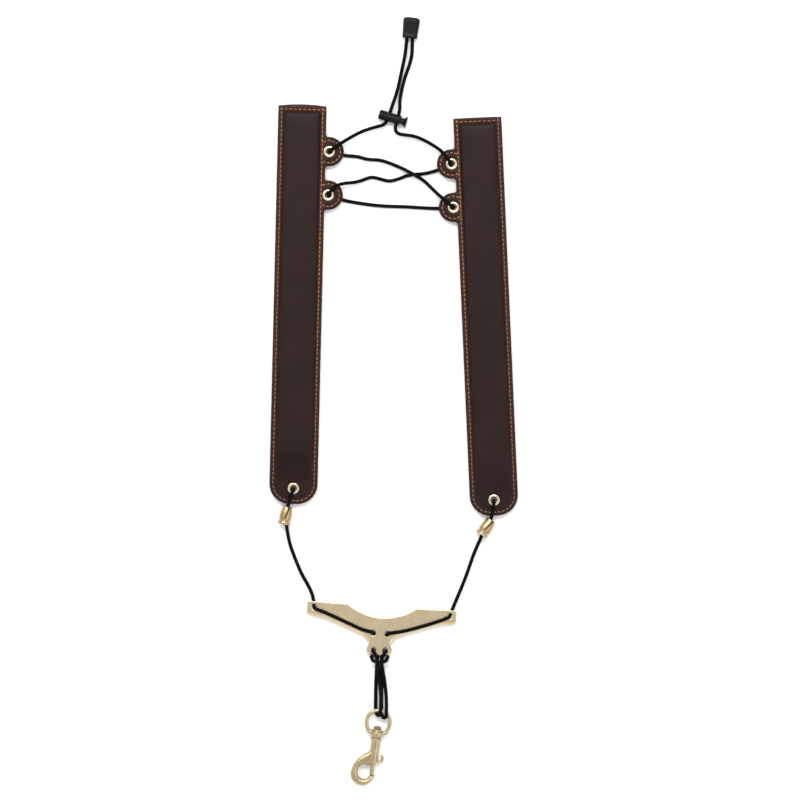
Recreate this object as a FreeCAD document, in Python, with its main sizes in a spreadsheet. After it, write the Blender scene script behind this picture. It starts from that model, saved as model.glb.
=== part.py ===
import FreeCAD, Part
import math
import os
import Sketcher
from FreeCAD import Placement, Rotation, Vector

# Saxophone neck strap, laid out flat: two padded leather shoulder pads laced together at the
# top, and a cord from their tips through a height plate to a swivel snap hook.
# +X is to the right, +Y towards the lacing, +Z up from the surface that it lies on.

SIZES = {
    # shoulder pads
    "pad_width": 40.0,
    "pad_half_width": 20.0,
    "pad_length": 330.5,
    "tip_radius": 17.0,
    "padding_length": 315.9,
    "cavity_floor_z": 1.3,
    "foam_low_z": 1.35,
    "border_low_z": 3.8,
    "seam_z": 5.1,
    "border_top_z": 6.4,
    "foam_top_z": 7.85,
    "cavity_roof_z": 7.9,
    "pad_top_z": 9.2,
    "crease_inset": 5.4,
    "cavity_inset": 6.7,
    "foam_inset": 6.8,
    "bulge_rounding": 2.4,
    "cavity_rounding": 1.6,
    "tab_radius": 12.2,
    "tab_reach": 23.0,
    "upper_tab_drop": 37.4,
    "lower_tab_drop": 73.5,
    "tip_eyelet_drop": 317.5,
    "eyelet_hole_radius": 2.85,
    # seam thread
    "thread_outer_inset": 2.5,
    "thread_inner_inset": 3.3,
    "thread_under_z": 3.5,
    "thread_over_z": 6.7,
    "tab_thread_outer_radius": 9.7,
    "tab_thread_inner_radius": 8.9,
    # eyelets and their washers
    "eyelet_bore_radius": 2.4,
    "eyelet_barrel_radius": 2.8,
    "eyelet_roll_radius": 3.5,
    "eyelet_flange_radius": 4.75,
    "eyelet_low_z": 3.2,
    "washer_low_z": 3.4,
    "eyelet_top_z": 7.0,
    "washer_bore_radius": 2.9,
    # bells and the knots in them
    "bell_mouth_radius": 4.2,
    "bell_belly_radius": 5.0,
    "bell_rim_radius": 5.2,
    "bell_wall": 0.35,
    "bell_length": 15.0,
    "bell_slit_width": 0.9,
    "bell_slit_length": 9.0,
    "bell_knot_radius": 3.9,
    "bell_knot_start": 8.5,
    "bell_knot_end": 12.0,
    # cord
    "cord_radius": 1.5,
    # cord lock
    "lock_radius": 4.05,
    "lock_bore_radius": 2.85,
    "lock_length": 18.8,
    "lock_bore_start": 1.6,
    "lock_hole_radius": 1.8,
    "first_lock_hole": 8.3,
    "second_lock_hole": 15.8,
    "plunger_radius": 2.8,
    "plunger_start": 5.4,
    "plunger_travel": 2.4,
    "plunger_slot_radius": 1.65,
    "button_start": 21.4,
    "button_radius": 4.75,
    "button_end": 24.0,
    # cord end
    "end_mouth_half_width": 6.25,
    "end_top_half_width": 7.0,
    "end_mouth_half_depth": 3.5,
    "end_top_half_depth": 4.0,
    "end_wall": 1.3,
    "end_shell_length": 15.6,
    "end_floor": 2.0,
    "end_length": 17.2,
    "end_hole_radius": 1.55,
    "end_hole_offset": 2.2,
    # height plate
    "plate_low_z": 3.4,
    "plate_thickness": 1.8,
    "plate_half_span": 62.0,
    "plate_end_top": 5.6,
    "plate_end_foot": 5.5,
    "plate_shoulder": 28.7,
    "plate_shoulder_top": 5.2,
    "plate_dip_radius": 47.7,
    "plate_knee": 47.0,
    "plate_knee_drop": 7.8,
    "plate_throat": 15.5,
    "plate_throat_drop": 19.0,
    "plate_neck": 9.0,
    "plate_neck_drop": 24.2,
    "plate_ear": 10.6,
    "plate_ear_drop": 30.5,
    "plate_ear_foot": 8.2,
    "plate_ear_foot_drop": 35.6,
    "plate_tip_drop": 36.0,
    "plate_hole_radius": 2.7,
    "outer_hole": 56.4,
    "outer_hole_top": 1.0,
    "inner_hole": 6.15,
    "inner_hole_drop": 17.1,
    "lower_hole": 5.35,
    "lower_hole_drop": 31.0,
    # snap hook, measured along its shank from the swivel joint
    "wire_radius": 1.65,
    "eye_radius": 9.7,
    "eye_centre": 13.3,
    "eye_side_radius": 14.0,
    "eye_side_drop": 7.4,
    "eye_corner_radius": 2.4,
    "collar_top": 7.6,
    "collar_foot": 0.9,
    "collar_radius": 5.2,
    "collar_bore_radius": 1.86,
    "post_radius": 1.8,
    "post_depth": 2.5,
    "rivet_head_radius": 3.25,
    "barrel_top_radius": 4.05,
    "barrel_waist_radius": 3.5,
    "barrel_length": 21.5,
    "bolt_bore_radius": 2.0,
    "bolt_bore_start": 3.2,
    "bolt_radius": 1.92,
    "bolt_start": 13.5,
    "bolt_end": 30.8,
    "hook_outer_radius": 10.55,
    "hook_inner_radius": 6.0,
    "hook_centre_out": 7.0,
    "hook_centre_along": 29.6,
    "hook_throat_along": 28.7,
    "hook_nose_radius": 10.0,
    "hook_back_radius": 17.0,
    "hook_thickness": 5.4,
    "trigger_radius": 0.95,
    "trigger_hole_radius": 1.02,
    "trigger_along": 18.8,
    "slot_start": 10.6,
    "slot_end": 20.0,
    "slot_width": 2.2,
}

UP = Vector(0, 0, 1)
AXIS_HEIGHT = 5.25  # of the bells and the snap hook

PAD_PLACES = {
    "left": Placement(Vector(-75.9, 245.3, 0), Rotation(UP, -1.37)),
    "right": Placement(Vector(69.1, 235.5, 0), Rotation(UP, 2.5)),
}
BELLS = {
    "left": ((-88.2, -87.2, AXIS_HEIGHT), (-0.217, -0.976, 0)),
    "right": ((80.8, -98.3, AXIS_HEIGHT), (-0.566, -0.824, 0)),
}
LOCK = ((-12.4, 238.7, 4.85), (0.9537, -0.3007, 0))
CORD_END = ((13.0, 301.7, 4.05), (0.113, 0.9936, 0))
PLATE_PLACE = Placement(Vector(-10.2, -175.3, 0), Rotation(UP, -3.9))
HOOK = ((-14.7, -279.3, AXIS_HEIGHT), (-0.124, -0.992, 0))

# Routes of the cords: the points that each one is drawn through.
ROUTES = {
    "left_tail_cord": [
        (-4.48, 236.2, 4.85), (-1.62, 245.27, 4.85), (0.9, 257.0, 2.6), (3.6, 267.5, 1.7),
        (6.2, 277.5, 1.6), (8.6, 287.5, 2.2), (10.2, 296.6, 3.95), (11.26, 305.9, 4.05),
    ],
    "right_tail_cord": [
        (2.67, 233.95, 4.85), (5.0, 241.34, 4.85), (4.9, 251.5, 3.6), (5.9, 259.5, 2.0),
        (8.5, 269.5, 1.6), (11.6, 279.8, 1.6), (14.0, 288.3, 2.4), (14.5, 295.4, 3.95),
        (15.65, 305.4, 4.05),
    ],
    "lacing_cord": [
        (-4.48, 236.2, 4.85), (-7.2, 227.57, 4.85), (-16.5, 227.0, 4.3), (-26.5, 224.6, 5.0),
        (-35.7, 219.3, 6.6), (-43.0, 214.8, 8.5), (-53.8, 207.4, 8.6), (-53.8, 207.4, 1.6),
        (-41.5, 204.2, 1.6), (-29.8, 203.6, 1.6), (-22.5, 201.0, 1.6), (-10.5, 200.7, 1.6),
        (1.5, 196.0, 1.9), (9.7, 192.2, 4.9), (24.5, 183.9, 5.0), (31.0, 177.2, 6.2),
        (38.4, 170.0, 8.5), (49.3, 161.1, 8.6), (49.3, 161.1, 1.6), (36.6, 160.2, 1.6),
        (22.5, 160.9, 1.6), (8.0, 161.9, 1.6), (-9.0, 162.2, 1.6), (-26.0, 164.2, 1.6),
        (-42.0, 167.0, 1.6), (-54.7, 171.3, 1.6), (-54.7, 171.3, 8.6), (-49.8, 178.3, 8.65),
        (-41.8, 181.0, 7.7), (-34.0, 181.6, 4.6), (-26.5, 183.6, 2.2), (-19.0, 186.8, 1.6),
        (-11.4, 184.9, 1.6), (-4.0, 182.7, 1.6), (4.3, 185.0, 1.6), (12.9, 188.5, 1.6),
        (23.6, 188.9, 1.6), (35.0, 191.5, 1.6), (47.7, 197.1, 1.6), (47.7, 197.1, 8.6),
        (39.9, 207.4, 8.5), (33.5, 212.0, 6.8), (26.0, 216.5, 5.2), (17.0, 220.4, 4.5),
        (8.8, 221.3, 4.4), (2.3, 222.5, 4.6), (0.57, 227.29, 4.85), (2.67, 233.95, 4.85),
    ],
    "left_loop_cord": [
        (-90.0, -95.5, 7.2), (-88.5, -88.6, 7.2), (-87.4, -84.1, 8.4), (-85.8, -78.6, 8.6),
        (-83.5, -72.55, 8.6), (-83.5, -72.55, 1.6), (-85.8, -79.0, 1.65), (-87.4, -84.2, 1.9),
        (-88.5, -88.5, 3.35), (-90.0, -95.5, 3.3),
    ],
    "right_loop_cord": [
        (76.0, -105.3, 7.2), (79.9, -99.7, 7.1), (81.4, -93.9, 8.4), (82.2, -88.0, 8.6),
        (82.98, -82.4, 8.6), (82.98, -82.4, 1.6), (82.2, -88.0, 1.65), (81.4, -93.9, 2.05),
        (79.9, -99.7, 3.4), (76.0, -105.3, 3.3),
    ],
    "left_drop_cord": [
        (-89.6, -98.8, 4.7), (-89.0, -104.8, 3.6), (-88.0, -111.5, 2.0), (-86.4, -119.0, 1.6),
        (-82.2, -130.4, 1.6), (-76.9, -143.2, 1.6), (-70.9, -153.2, 1.6), (-67.4, -161.0, 1.6),
        (-66.5, -169.3, 1.6), (-66.2, -171.8, 6.8), (-57.0, -175.0, 6.8), (-46.0, -180.15, 6.8),
    ],
    "right_drop_cord": [
        (74.4, -107.9, 4.8), (71.9, -113.6, 3.5), (69.0, -120.1, 1.9), (65.2, -129.3, 1.6),
        (60.3, -144.0, 1.6), (54.9, -157.4, 1.6), (50.6, -167.5, 1.6), (46.8, -176.9, 1.6),
        (45.8, -179.1, 6.9), (38.0, -182.3, 6.8), (27.5, -185.45, 6.8),
    ],
    "suspension_cord": [
        (-46.0, -180.15, 6.8), (-35.0, -185.3, 6.8), (-26.0, -189.6, 6.8), (-18.2, -191.3, 6.9),
        (-16.6, -192.7, 1.6), (-14.2, -200.5, 1.6), (-13.9, -209.0, 1.6), (-14.4, -222.0, 1.6),
        (-15.1, -235.0, 1.6), (-15.3, -247.0, 1.6), (-14.4, -259.9, 1.7), (-12.3, -260.2, 8.7),
        (-10.9, -253.0, 8.6), (-10.7, -243.0, 6.8), (-12.2, -230.0, 5.3), (-13.7, -219.5, 5.6),
        (-14.4, -213.6, 6.3), (-17.4, -206.4, 7.6), (-17.7, -205.9, 1.6), (-18.6, -213.2, 1.6),
        (-18.3, -213.5, 9.3), (-12.0, -217.4, 9.5), (-5.6, -213.7, 9.3), (-5.5, -213.5, 1.6),
        (-6.7, -206.6, 1.6), (-7.0, -207.1, 7.6), (-9.8, -213.8, 6.3), (-9.5, -219.5, 5.6),
        (-7.9, -230.0, 5.3), (-6.4, -243.0, 6.8), (-6.3, -253.5, 8.6), (-8.3, -261.9, 8.7),
        (-9.1, -261.7, 1.7), (-10.3, -249.0, 1.6), (-10.2, -236.0, 1.6), (-10.1, -222.0, 1.6),
        (-10.3, -209.0, 1.6), (-9.8, -201.0, 1.6), (-6.0, -193.5, 1.6), (-4.6, -192.3, 6.9),
        (4.6, -191.4, 6.8), (17.0, -188.6, 6.8), (27.5, -185.45, 6.8),
    ],
}

os.makedirs("parts", exist_ok=True)
doc = FreeCAD.newDocument("neck_strap")
sheet = doc.addObject("Spreadsheet::Sheet", "Sizes")
for row, (size_name, size_value) in enumerate(SIZES.items(), 1):
    sheet.set("A%d" % row, size_name)
    sheet.set("B%d" % row, str(size_value))
    sheet.setAlias("B%d" % row, size_name)
doc.recompute()


# ---------------------------------------------------------------- sizes and expressions

def size(name):
    """A driving dimension, as the sheet holds it."""
    return float(sheet.get(name))


def number(text):
    """The value of a sum of sheet names and numbers, such as "lock_length - 0.6"."""
    total, sign = 0.0, 1
    for word in text.split():
        if word in ("+", "-"):
            sign = 1 if word == "+" else -1
        else:
            total += sign * (size(word) if word in SIZES else float(word))
    return total


def formula(text):
    """The same sum as a FreeCAD expression."""
    return " ".join("Sizes." + word if word in SIZES else word for word in text.split())


def primitive(kind, name, sizes, at=("0", "0", "0"), turn=None):
    """A Part primitive with its sizes and place bound to the sheet."""
    thing = doc.addObject(kind, name)
    if turn:
        thing.Placement = Placement(Vector(), turn)
    for prop, text in sizes.items():
        thing.setExpression(prop, formula(text))
    for axis, text in zip("xyz", at):
        thing.setExpression("Placement.Base." + axis, formula(text))
    return thing


def boolean(kind, name, shapes):
    """A Part::MultiFuse or Part::MultiCommon of several shapes."""
    made = doc.addObject(kind, name)
    made.Shapes = shapes
    made.Refine = True
    return made


def cut(name, base, tool):
    made = doc.addObject("Part::Cut", name)
    made.Base = base
    made.Tool = tool
    return made


def rounded(name, base, radius, chosen):
    """A Part::Fillet of the edges that chosen() picks."""
    doc.recompute()
    made = doc.addObject("Part::Fillet", name)
    made.Base = base
    edges = enumerate(base.Shape.Edges, 1)
    made.Edges = [(index, radius, radius) for index, edge in edges if chosen(edge)]
    return made


def at_height(z):
    """Picks the edges that lie flat at one height."""
    return lambda edge: abs(edge.BoundBox.ZMin - z) < 1e-4 and abs(edge.BoundBox.ZMax - z) < 1e-4


# ---------------------------------------------------------------- sketches

def sketch_on(body, role, name):
    """A new sketch on one of the body's own origin planes."""
    plane = next(item for item in body.Origin.OriginFeatures if item.Role == role)
    made = body.newObject("Sketcher::SketchObject", name)
    made.AttachmentSupport = (plane, [""])
    made.MapMode = "FlatFace"
    return made


def pin(sketch, edge, end, axis, text):
    """Holds one end of an edge at a place along the sketch's X or Y."""
    if text == "0":
        line = {"X": -2, "Y": -1}[axis]
        sketch.addConstraint(Sketcher.Constraint("PointOnObject", edge, end, line))
        return
    rule = Sketcher.Constraint("Distance" + axis, -1, 1, edge, end, number(text))
    index = sketch.addConstraint(rule)
    sketch.setExpression("Constraints[%d]" % index, formula(text))


def arc_through(start, end, radius):
    """An arc of a given radius. It bulges to the right of its way if the radius is positive."""
    chord = end - start
    right = Vector(chord.y, -chord.x, 0).normalize()
    rise = abs(radius) - math.sqrt(radius ** 2 - chord.Length ** 2 / 4)
    middle = (start + end) / 2 + right * math.copysign(rise, radius)
    return Part.Arc(start, middle, end)


def outline(sketch, points):
    """A closed outline through points (x, y), or (x, y, radius) where an arc leads on."""
    spots = [Vector(number(point[0]), number(point[1]), 0) for point in points]
    count = len(points)
    firsts = []
    for index, point in enumerate(points):
        start, end = spots[index], spots[(index + 1) % count]
        if len(point) == 3:
            edge = arc_through(start, end, number(point[2]))
        else:
            edge = Part.LineSegment(start, end)
        sketch.addGeometry(edge, False)
        firsts.append(1 if (sketch.getPoint(index, 1) - start).Length < 1e-6 else 2)
    for index, first in enumerate(firsts):
        following = (index + 1) % count
        joined = Sketcher.Constraint("Coincident", index, 3 - first, following, firsts[following])
        sketch.addConstraint(joined)
    for index, point in enumerate(points):
        pin(sketch, index, firsts[index], "X", point[0])
        pin(sketch, index, firsts[index], "Y", point[1])
        if len(point) == 3:
            rule = sketch.addConstraint(Sketcher.Constraint("Radius", index, abs(number(point[2]))))
            sketch.setExpression("Constraints[%d]" % rule, formula(point[2].replace("- ", "")))


def circles(sketch, spots, radius):
    """Circles at spots (x, y)."""
    for index, (x, y) in enumerate(spots):
        circle = Part.Circle(Vector(number(x), number(y), 0), UP, number(radius))
        sketch.addGeometry(circle, False)
        pin(sketch, index, 3, "X", x)
        pin(sketch, index, 3, "Y", y)
        rule = sketch.addConstraint(Sketcher.Constraint("Radius", index, number(radius)))
        sketch.setExpression("Constraints[%d]" % rule, formula(radius))


# ---------------------------------------------------------------- bodies

def new_body(name):
    return doc.addObject("PartDesign::Body", name)


def turn(body, points, kind="PartDesign::Revolution"):
    """Turns a profile (radius, height) about the body's Z axis, to add or to cut."""
    name = "%s_turn_%d" % (body.Name, len(body.Group))
    sketch = sketch_on(body, "XZ_Plane", name + "_profile")
    outline(sketch, points)
    made = body.newObject(kind, name)
    made.Profile = sketch
    made.ReferenceAxis = (sketch, ["V_Axis"])
    made.Angle = 360
    return made


def pad(body, sketch, thickness, both_ways=False):
    made = body.newObject("PartDesign::Pad", sketch.Name + "_pad")
    made.Profile = sketch
    made.setExpression("Length", formula(thickness))
    made.SideType = "Symmetric" if both_ways else "One side"
    return made


def pocket(body, sketch, depth=None, backwards=False):
    """Cuts a sketch through everything both ways, or to a depth one way."""
    doc.recompute()
    before = body.Shape.Volume
    made = body.newObject("PartDesign::Pocket", sketch.Name + "_pocket")
    made.Profile = sketch
    if depth is None:
        made.Type = "ThroughAll"
        made.SideType = "Symmetric"
    else:
        made.setExpression("Length", formula(depth))
        made.Reversed = backwards
    doc.recompute()
    if body.Shape.Volume > before - 0.01:
        raise RuntimeError(made.Name + " cuts nothing")
    return made


def lying(place):
    """Lays a piece's Z axis along a direction, with its Y axis up."""
    point, direction = place
    ahead = Vector(*direction).normalize()
    return Placement(Vector(*point), Rotation(UP.cross(ahead), UP, ahead, "ZYX"))


def lying_on_y(place):
    """Lays a piece's Y axis along a direction, with its Z axis up."""
    point, direction = place
    ahead = Vector(*direction).normalize()
    return Placement(Vector(*point), Rotation(ahead.cross(UP), ahead, UP, "YZX"))


nodes = []


def sub_part(thing, name, place=None):
    """Names a finished piece and puts it in its place."""
    thing.Label = name
    if place is not None:
        thing.Placement = place
    nodes.append(thing)


# ---------------------------------------------------------------- tubes

def rounded_path(points):
    """Straight runs joined by tangent arcs, each as large as its two runs allow."""
    spots = [Vector(*point) for point in points]
    edges, radii, here = [], [], spots[0]
    for before, corner, after in zip(spots, spots[1:], spots[2:]):
        come, leave = corner - before, after - corner
        reach = 0.45 * min(come.Length, leave.Length)
        half_turn = come.getAngle(leave) / 2
        come.normalize()
        leave.normalize()
        radius = reach / math.tan(half_turn)
        start, end = corner - come * reach, corner + leave * reach
        inward = (leave - come).normalize()
        middle = corner + inward * (radius / math.cos(half_turn) - radius)
        edges.append(Part.LineSegment(here, start).toShape())
        edges.append(Part.Arc(start, middle, end).toShape())
        radii.append(radius)
        here = end
    edges.append(Part.LineSegment(here, spots[-1]).toShape())
    return Part.Wire(edges), radii


def tube(wire, radius):
    """A round section swept along a wire."""
    first = wire.Edges[0]
    start = first.valueAt(first.FirstParameter)
    heading = first.tangentAt(first.FirstParameter)
    section = Part.Wire(Part.makeCircle(radius, start, heading))
    return wire.makePipe(Part.Face(section))


def cord(name):
    """A cord's tube, with its smallest radii and its volume printed."""
    wire, radii = rounded_path(ROUTES[name])
    radius = size("cord_radius")
    made = doc.addObject("Part::Feature", name)
    made.Shape = tube(wire, radius)
    share = made.Shape.Volume / (math.pi * radius ** 2 * wire.Length)
    smallest = ", ".join("%.1f" % value for value in sorted(radii)[:4])
    print("%s: %.1f mm, radii from %s, volume x%.4f" % (name, wire.Length, smallest, share))
    if abs(share - 1) > 0.01:
        raise RuntimeError(name + " has the wrong volume")
    sub_part(made, name)


def spring(name, coil_radius, wire_radius, length, coils, place):
    """A compression spring along its own Z axis, a hair clear of both its seats."""
    seat = wire_radius + 0.1
    path = Part.makeHelix((length - 2 * seat) / coils, length - 2 * seat, coil_radius)
    start = Vector(coil_radius, 0, 0)
    section = Part.Wire(Part.makeCircle(wire_radius, start, Vector(0, 1, 0)))
    made = doc.addObject("Part::Feature", name)
    made.Shape = Part.Wire(path.Edges).makePipeShell([section], True, True)
    sub_part(made, name, place * Placement(Vector(0, 0, seat), Rotation()))


# ---------------------------------------------------------------- shoulder pads

def strip(name, inset, low, high, foot="pad_length"):
    """The pad's outline, drawn in by an inset: a straight strip with a rounded lower end."""
    height = "%s - %s" % (high, low)
    run = primitive(
        "Part::Box",
        name + "_run",
        {
            "Length": "pad_width - %s - %s" % (inset, inset),
            "Width": "%s - tip_radius - %s" % (foot, inset),
            "Height": height,
        },
        at=("%s - pad_half_width" % inset, "tip_radius - " + foot, low),
    )
    middle = primitive(
        "Part::Box",
        name + "_middle",
        {
            "Length": "pad_width - tip_radius - tip_radius",
            "Width": "tip_radius - " + inset,
            "Height": height,
        },
        at=("tip_radius - pad_half_width", "%s - %s" % (inset, foot), low),
    )
    corners = [
        primitive(
            "Part::Cylinder",
            name + "_corner",
            {"Radius": "tip_radius - " + inset, "Height": height},
            at=(x, "tip_radius - " + foot, low),
        )
        for x in ("tip_radius - pad_half_width", "pad_half_width - tip_radius")
    ]
    return boolean("Part::MultiFuse", name, [run, middle] + corners)


def tab_spots(side):
    """Centres of the two lacing tabs, on the pad's inner edge."""
    reach = "tab_reach" if side == "left" else "- tab_reach"
    return [(reach, "- upper_tab_drop"), (reach, "- lower_tab_drop")]


def discs(name, spots, radius, low, high):
    return [
        primitive(
            "Part::Cylinder",
            "%s_%d" % (name, index),
            {"Radius": radius, "Height": "%s - %s" % (high, low)},
            at=(x, y, low),
        )
        for index, (x, y) in enumerate(spots)
    ]


def leather(side, layer, low, high, crown, roof, place):
    """One leather: a flat border with the tabs, and a bulge over the foam."""
    name = "%s_%s_leather" % (side, layer)
    spots = tab_spots(side)
    all_spots = spots + [("0", "- tip_eyelet_drop")]
    under, over = sorted((crown, "seam_z"), key=number)
    bulge = strip(name + "_bulge", "crease_inset", under, over, "padding_length")
    soft_bulge = rounded(name + "_soft", bulge, size("bulge_rounding"), at_height(number(crown)))
    under, over = sorted((roof, "seam_z"), key=number)
    cavity = strip(name + "_cavity", "cavity_inset", under, over, "padding_length")
    soft_cavity = rounded(
        name + "_hollow", cavity, size("cavity_rounding"), at_height(number(roof))
    )
    border = strip(name + "_border", "0", low, high)
    tabs = discs(name + "_tab", spots, "tab_radius", low, high)
    whole = boolean("Part::MultiFuse", name + "_whole", [border, soft_bulge] + tabs)
    holes = discs(name + "_hole", all_spots, "eyelet_hole_radius", low, high)
    gone = boolean("Part::MultiFuse", name + "_gone", [soft_cavity] + holes)
    sub_part(cut(name + "_cut", whole, gone), name, place)


def foam_core(side, place):
    """The foam between the leathers, rounded top and bottom."""
    name = side + "_foam_core"
    block = strip(name + "_block", "foam_inset", "foam_low_z", "foam_top_z", "padding_length")
    low, high = at_height(size("foam_low_z")), at_height(size("foam_top_z"))
    soft = rounded(name + "_soft", block, size("cavity_rounding"), lambda e: low(e) or high(e))
    sub_part(soft, name, place)


def thread_run(side, face, low, high):
    """The seam's thread on one face: a loop round the pad, and an arc round each tab."""
    name = "%s_%s_thread" % (side, face)
    outer = strip(name + "_outer", "thread_outer_inset", low, high)
    inner = strip(name + "_inner", "thread_inner_inset", low, high)
    loop = cut(name + "_loop", outer, inner)
    spots = tab_spots(side)
    wide = discs(name + "_wide", spots, "tab_thread_outer_radius", low, high)
    tight = discs(name + "_tight", spots, "tab_thread_inner_radius", low, high)
    rings = [cut(name + "_ring", disc, hole) for disc, hole in zip(wide, tight)]
    near = {"left": "pad_half_width - thread_inner_inset", "right": "- pad_width"}[side]
    reach = "pad_half_width + thread_inner_inset"
    window = primitive(
        "Part::Box",
        name + "_window",
        {"Length": reach, "Width": "pad_length", "Height": "%s - %s" % (high, low)},
        at=(near, "- pad_length", low),
    )
    arcs = [boolean("Part::MultiCommon", name + "_arc", [ring, window]) for ring in rings]
    return boolean("Part::MultiFuse", name, [loop] + arcs)


def seam_thread(side, place):
    name = side + "_seam_thread"
    front = thread_run(side, "front", "border_top_z", "thread_over_z")
    back = thread_run(side, "back", "thread_under_z", "border_low_z")
    sub_part(boolean("Part::MultiFuse", name, [front, back]), name, place)


def eyelet(name, place):
    """A brass eyelet: a flange in front, a barrel, and the end rolled over its washer."""
    body = new_body(name)
    turn(
        body,
        [
            ("eyelet_bore_radius", "eyelet_low_z + 0.5"),
            ("eyelet_bore_radius + 0.5", "eyelet_low_z"),
            ("eyelet_roll_radius", "eyelet_low_z"),
            ("eyelet_roll_radius", "washer_low_z"),
            ("eyelet_barrel_radius", "washer_low_z"),
            ("eyelet_barrel_radius", "border_top_z"),
            ("eyelet_flange_radius", "border_top_z"),
            ("eyelet_flange_radius", "border_top_z + 0.25"),
            ("eyelet_flange_radius - 0.7", "eyelet_top_z"),
            ("eyelet_bore_radius + 0.5", "eyelet_top_z"),
            ("eyelet_bore_radius", "eyelet_top_z - 0.5"),
        ],
    )
    sub_part(body, name, place)


def washers(side, place):
    """The three washers behind one pad's eyelets."""
    name = side + "_eyelet_washers"
    spots = tab_spots(side) + [("0", "- tip_eyelet_drop")]
    whole = discs(name + "_disc", spots, "eyelet_flange_radius", "washer_low_z", "border_low_z")
    holes = discs(name + "_hole", spots, "washer_bore_radius", "washer_low_z", "border_low_z")
    discs_together = boolean("Part::MultiFuse", name + "_discs", whole)
    holes_together = boolean("Part::MultiFuse", name + "_holes", holes)
    sub_part(cut(name + "_cut", discs_together, holes_together), name, place)


def bell(side):
    """The gold bell that gathers the two strands below a pad's tip, with its pressed slit."""
    body = new_body(side + "_cord_bell")
    turn(
        body,
        [
            ("bell_mouth_radius - bell_wall", "0"),
            ("bell_mouth_radius", "0"),
            ("bell_belly_radius", "bell_knot_start"),
            ("bell_belly_radius - 0.1", "bell_knot_end"),
            ("bell_rim_radius", "bell_length"),
            ("bell_rim_radius - bell_wall", "bell_length"),
            ("bell_belly_radius - 0.1 - bell_wall", "bell_knot_end"),
            ("bell_belly_radius - bell_wall", "bell_knot_start"),
        ],
    )
    slit = sketch_on(body, "XZ_Plane", body.Name + "_slit")
    edge = size("bell_slit_width") / 2
    outline(
        slit,
        [
            ("%.2f" % -edge, "- 1"),
            ("%.2f" % edge, "- 1"),
            ("%.2f" % edge, "bell_slit_length"),
            ("%.2f" % -edge, "bell_slit_length"),
        ],
    )
    pocket(body, slit, depth="bell_rim_radius + 1", backwards=False)
    sub_part(body, side + "_cord_bell", lying(BELLS[side]))


def bell_knot(side):
    """The knot of the loop's ends and the drop cord, held in the bell."""
    name = side + "_cord_knot"
    plain = primitive(
        "Part::Cylinder",
        name + "_plain",
        {"Radius": "bell_knot_radius", "Height": "bell_knot_end - bell_knot_start"},
    )
    plain.setExpression("Placement.Base.z", formula("bell_knot_start"))
    soft = rounded(name + "_soft", plain, 1.0, lambda edge: len(edge.Vertexes) == 1)
    holder = lying(BELLS[side])
    sub_part(soft, name, holder)


def shoulder_pad(side):
    place = PAD_PLACES[side]
    leather(side, "back", "border_low_z", "seam_z", "0", "cavity_floor_z", place)
    leather(side, "front", "seam_z", "border_top_z", "pad_top_z", "cavity_roof_z", place)
    foam_core(side, place)
    seam_thread(side, place)
    washers(side, place)
    names = ["upper_tab_eyelet", "lower_tab_eyelet", "tip_eyelet"]
    spots = tab_spots(side) + [("0", "- tip_eyelet_drop")]
    for name, (x, y) in zip(names, spots):
        spot = Placement(Vector(number(x), number(y), 0), Rotation())
        eyelet("%s_%s" % (side, name), place * spot)
    bell(side)
    bell_knot(side)


# ---------------------------------------------------------------- cord lock and cord end

def lock_barrel():
    """The lock's barrel, closed at one end, with two cross holes for the strands."""
    body = new_body("lock_barrel")
    turn(
        body,
        [
            ("0", "0"),
            ("lock_radius - 0.8", "0"),
            ("lock_radius", "0.8"),
            ("lock_radius", "lock_length - 0.4"),
            ("lock_radius - 0.4", "lock_length"),
            ("lock_bore_radius", "lock_length"),
            ("lock_bore_radius", "lock_bore_start"),
            ("0", "lock_bore_start"),
        ],
    )
    holes = sketch_on(body, "YZ_Plane", "lock_cross_holes")
    circles(holes, [("0", "first_lock_hole"), ("0", "second_lock_hole")], "lock_hole_radius")
    pocket(body, holes)
    sub_part(body, "lock_barrel", lying(LOCK))


def lock_plunger():
    """The plunger with its flared button, and slots that let it move across the strands."""
    body = new_body("lock_plunger")
    turn(
        body,
        [
            ("0", "plunger_start"),
            ("plunger_radius", "plunger_start"),
            ("plunger_radius", "button_start"),
            ("button_radius - 0.9", "button_start + 0.6"),
            ("button_radius", "button_end - 1.1"),
            ("button_radius", "button_end - 0.4"),
            ("button_radius - 0.5", "button_end"),
            ("0", "button_end"),
        ],
    )
    for index, hole in enumerate(("first_lock_hole", "second_lock_hole")):
        slot = sketch_on(body, "YZ_Plane", "plunger_slot_%d" % index)
        near = hole + " - plunger_slot_radius"
        far = hole + " + plunger_travel + plunger_slot_radius"
        outline(
            slot,
            [
                ("- plunger_slot_radius", near),
                ("- plunger_slot_radius", far),
                ("plunger_slot_radius", far),
                ("plunger_slot_radius", near),
            ],
        )
        pocket(body, slot)
    sub_part(body, "lock_plunger", lying(LOCK))


def cord_lock():
    lock_barrel()
    lock_plunger()
    start = size("lock_bore_start")
    foot = lying(LOCK) * Placement(Vector(0, 0, start), Rotation())
    spring("lock_spring", 2.0, 0.25, size("plunger_start") - start, 3, foot)


def wedge(name, bottom, top, wide, deep):
    """A tapered block along Y. wide and deep are half sizes at the bottom and at the top."""
    return primitive(
        "Part::Wedge",
        name,
        {
            "Ymin": bottom,
            "Ymax": top,
            "Xmin": "0 - " + wide[0],
            "Xmax": wide[0],
            "X2min": "0 - " + wide[1],
            "X2max": wide[1],
            "Zmin": "0 - " + deep[0],
            "Zmax": deep[0],
            "Z2min": "0 - " + deep[1],
            "Z2max": deep[1],
        },
    )


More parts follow.
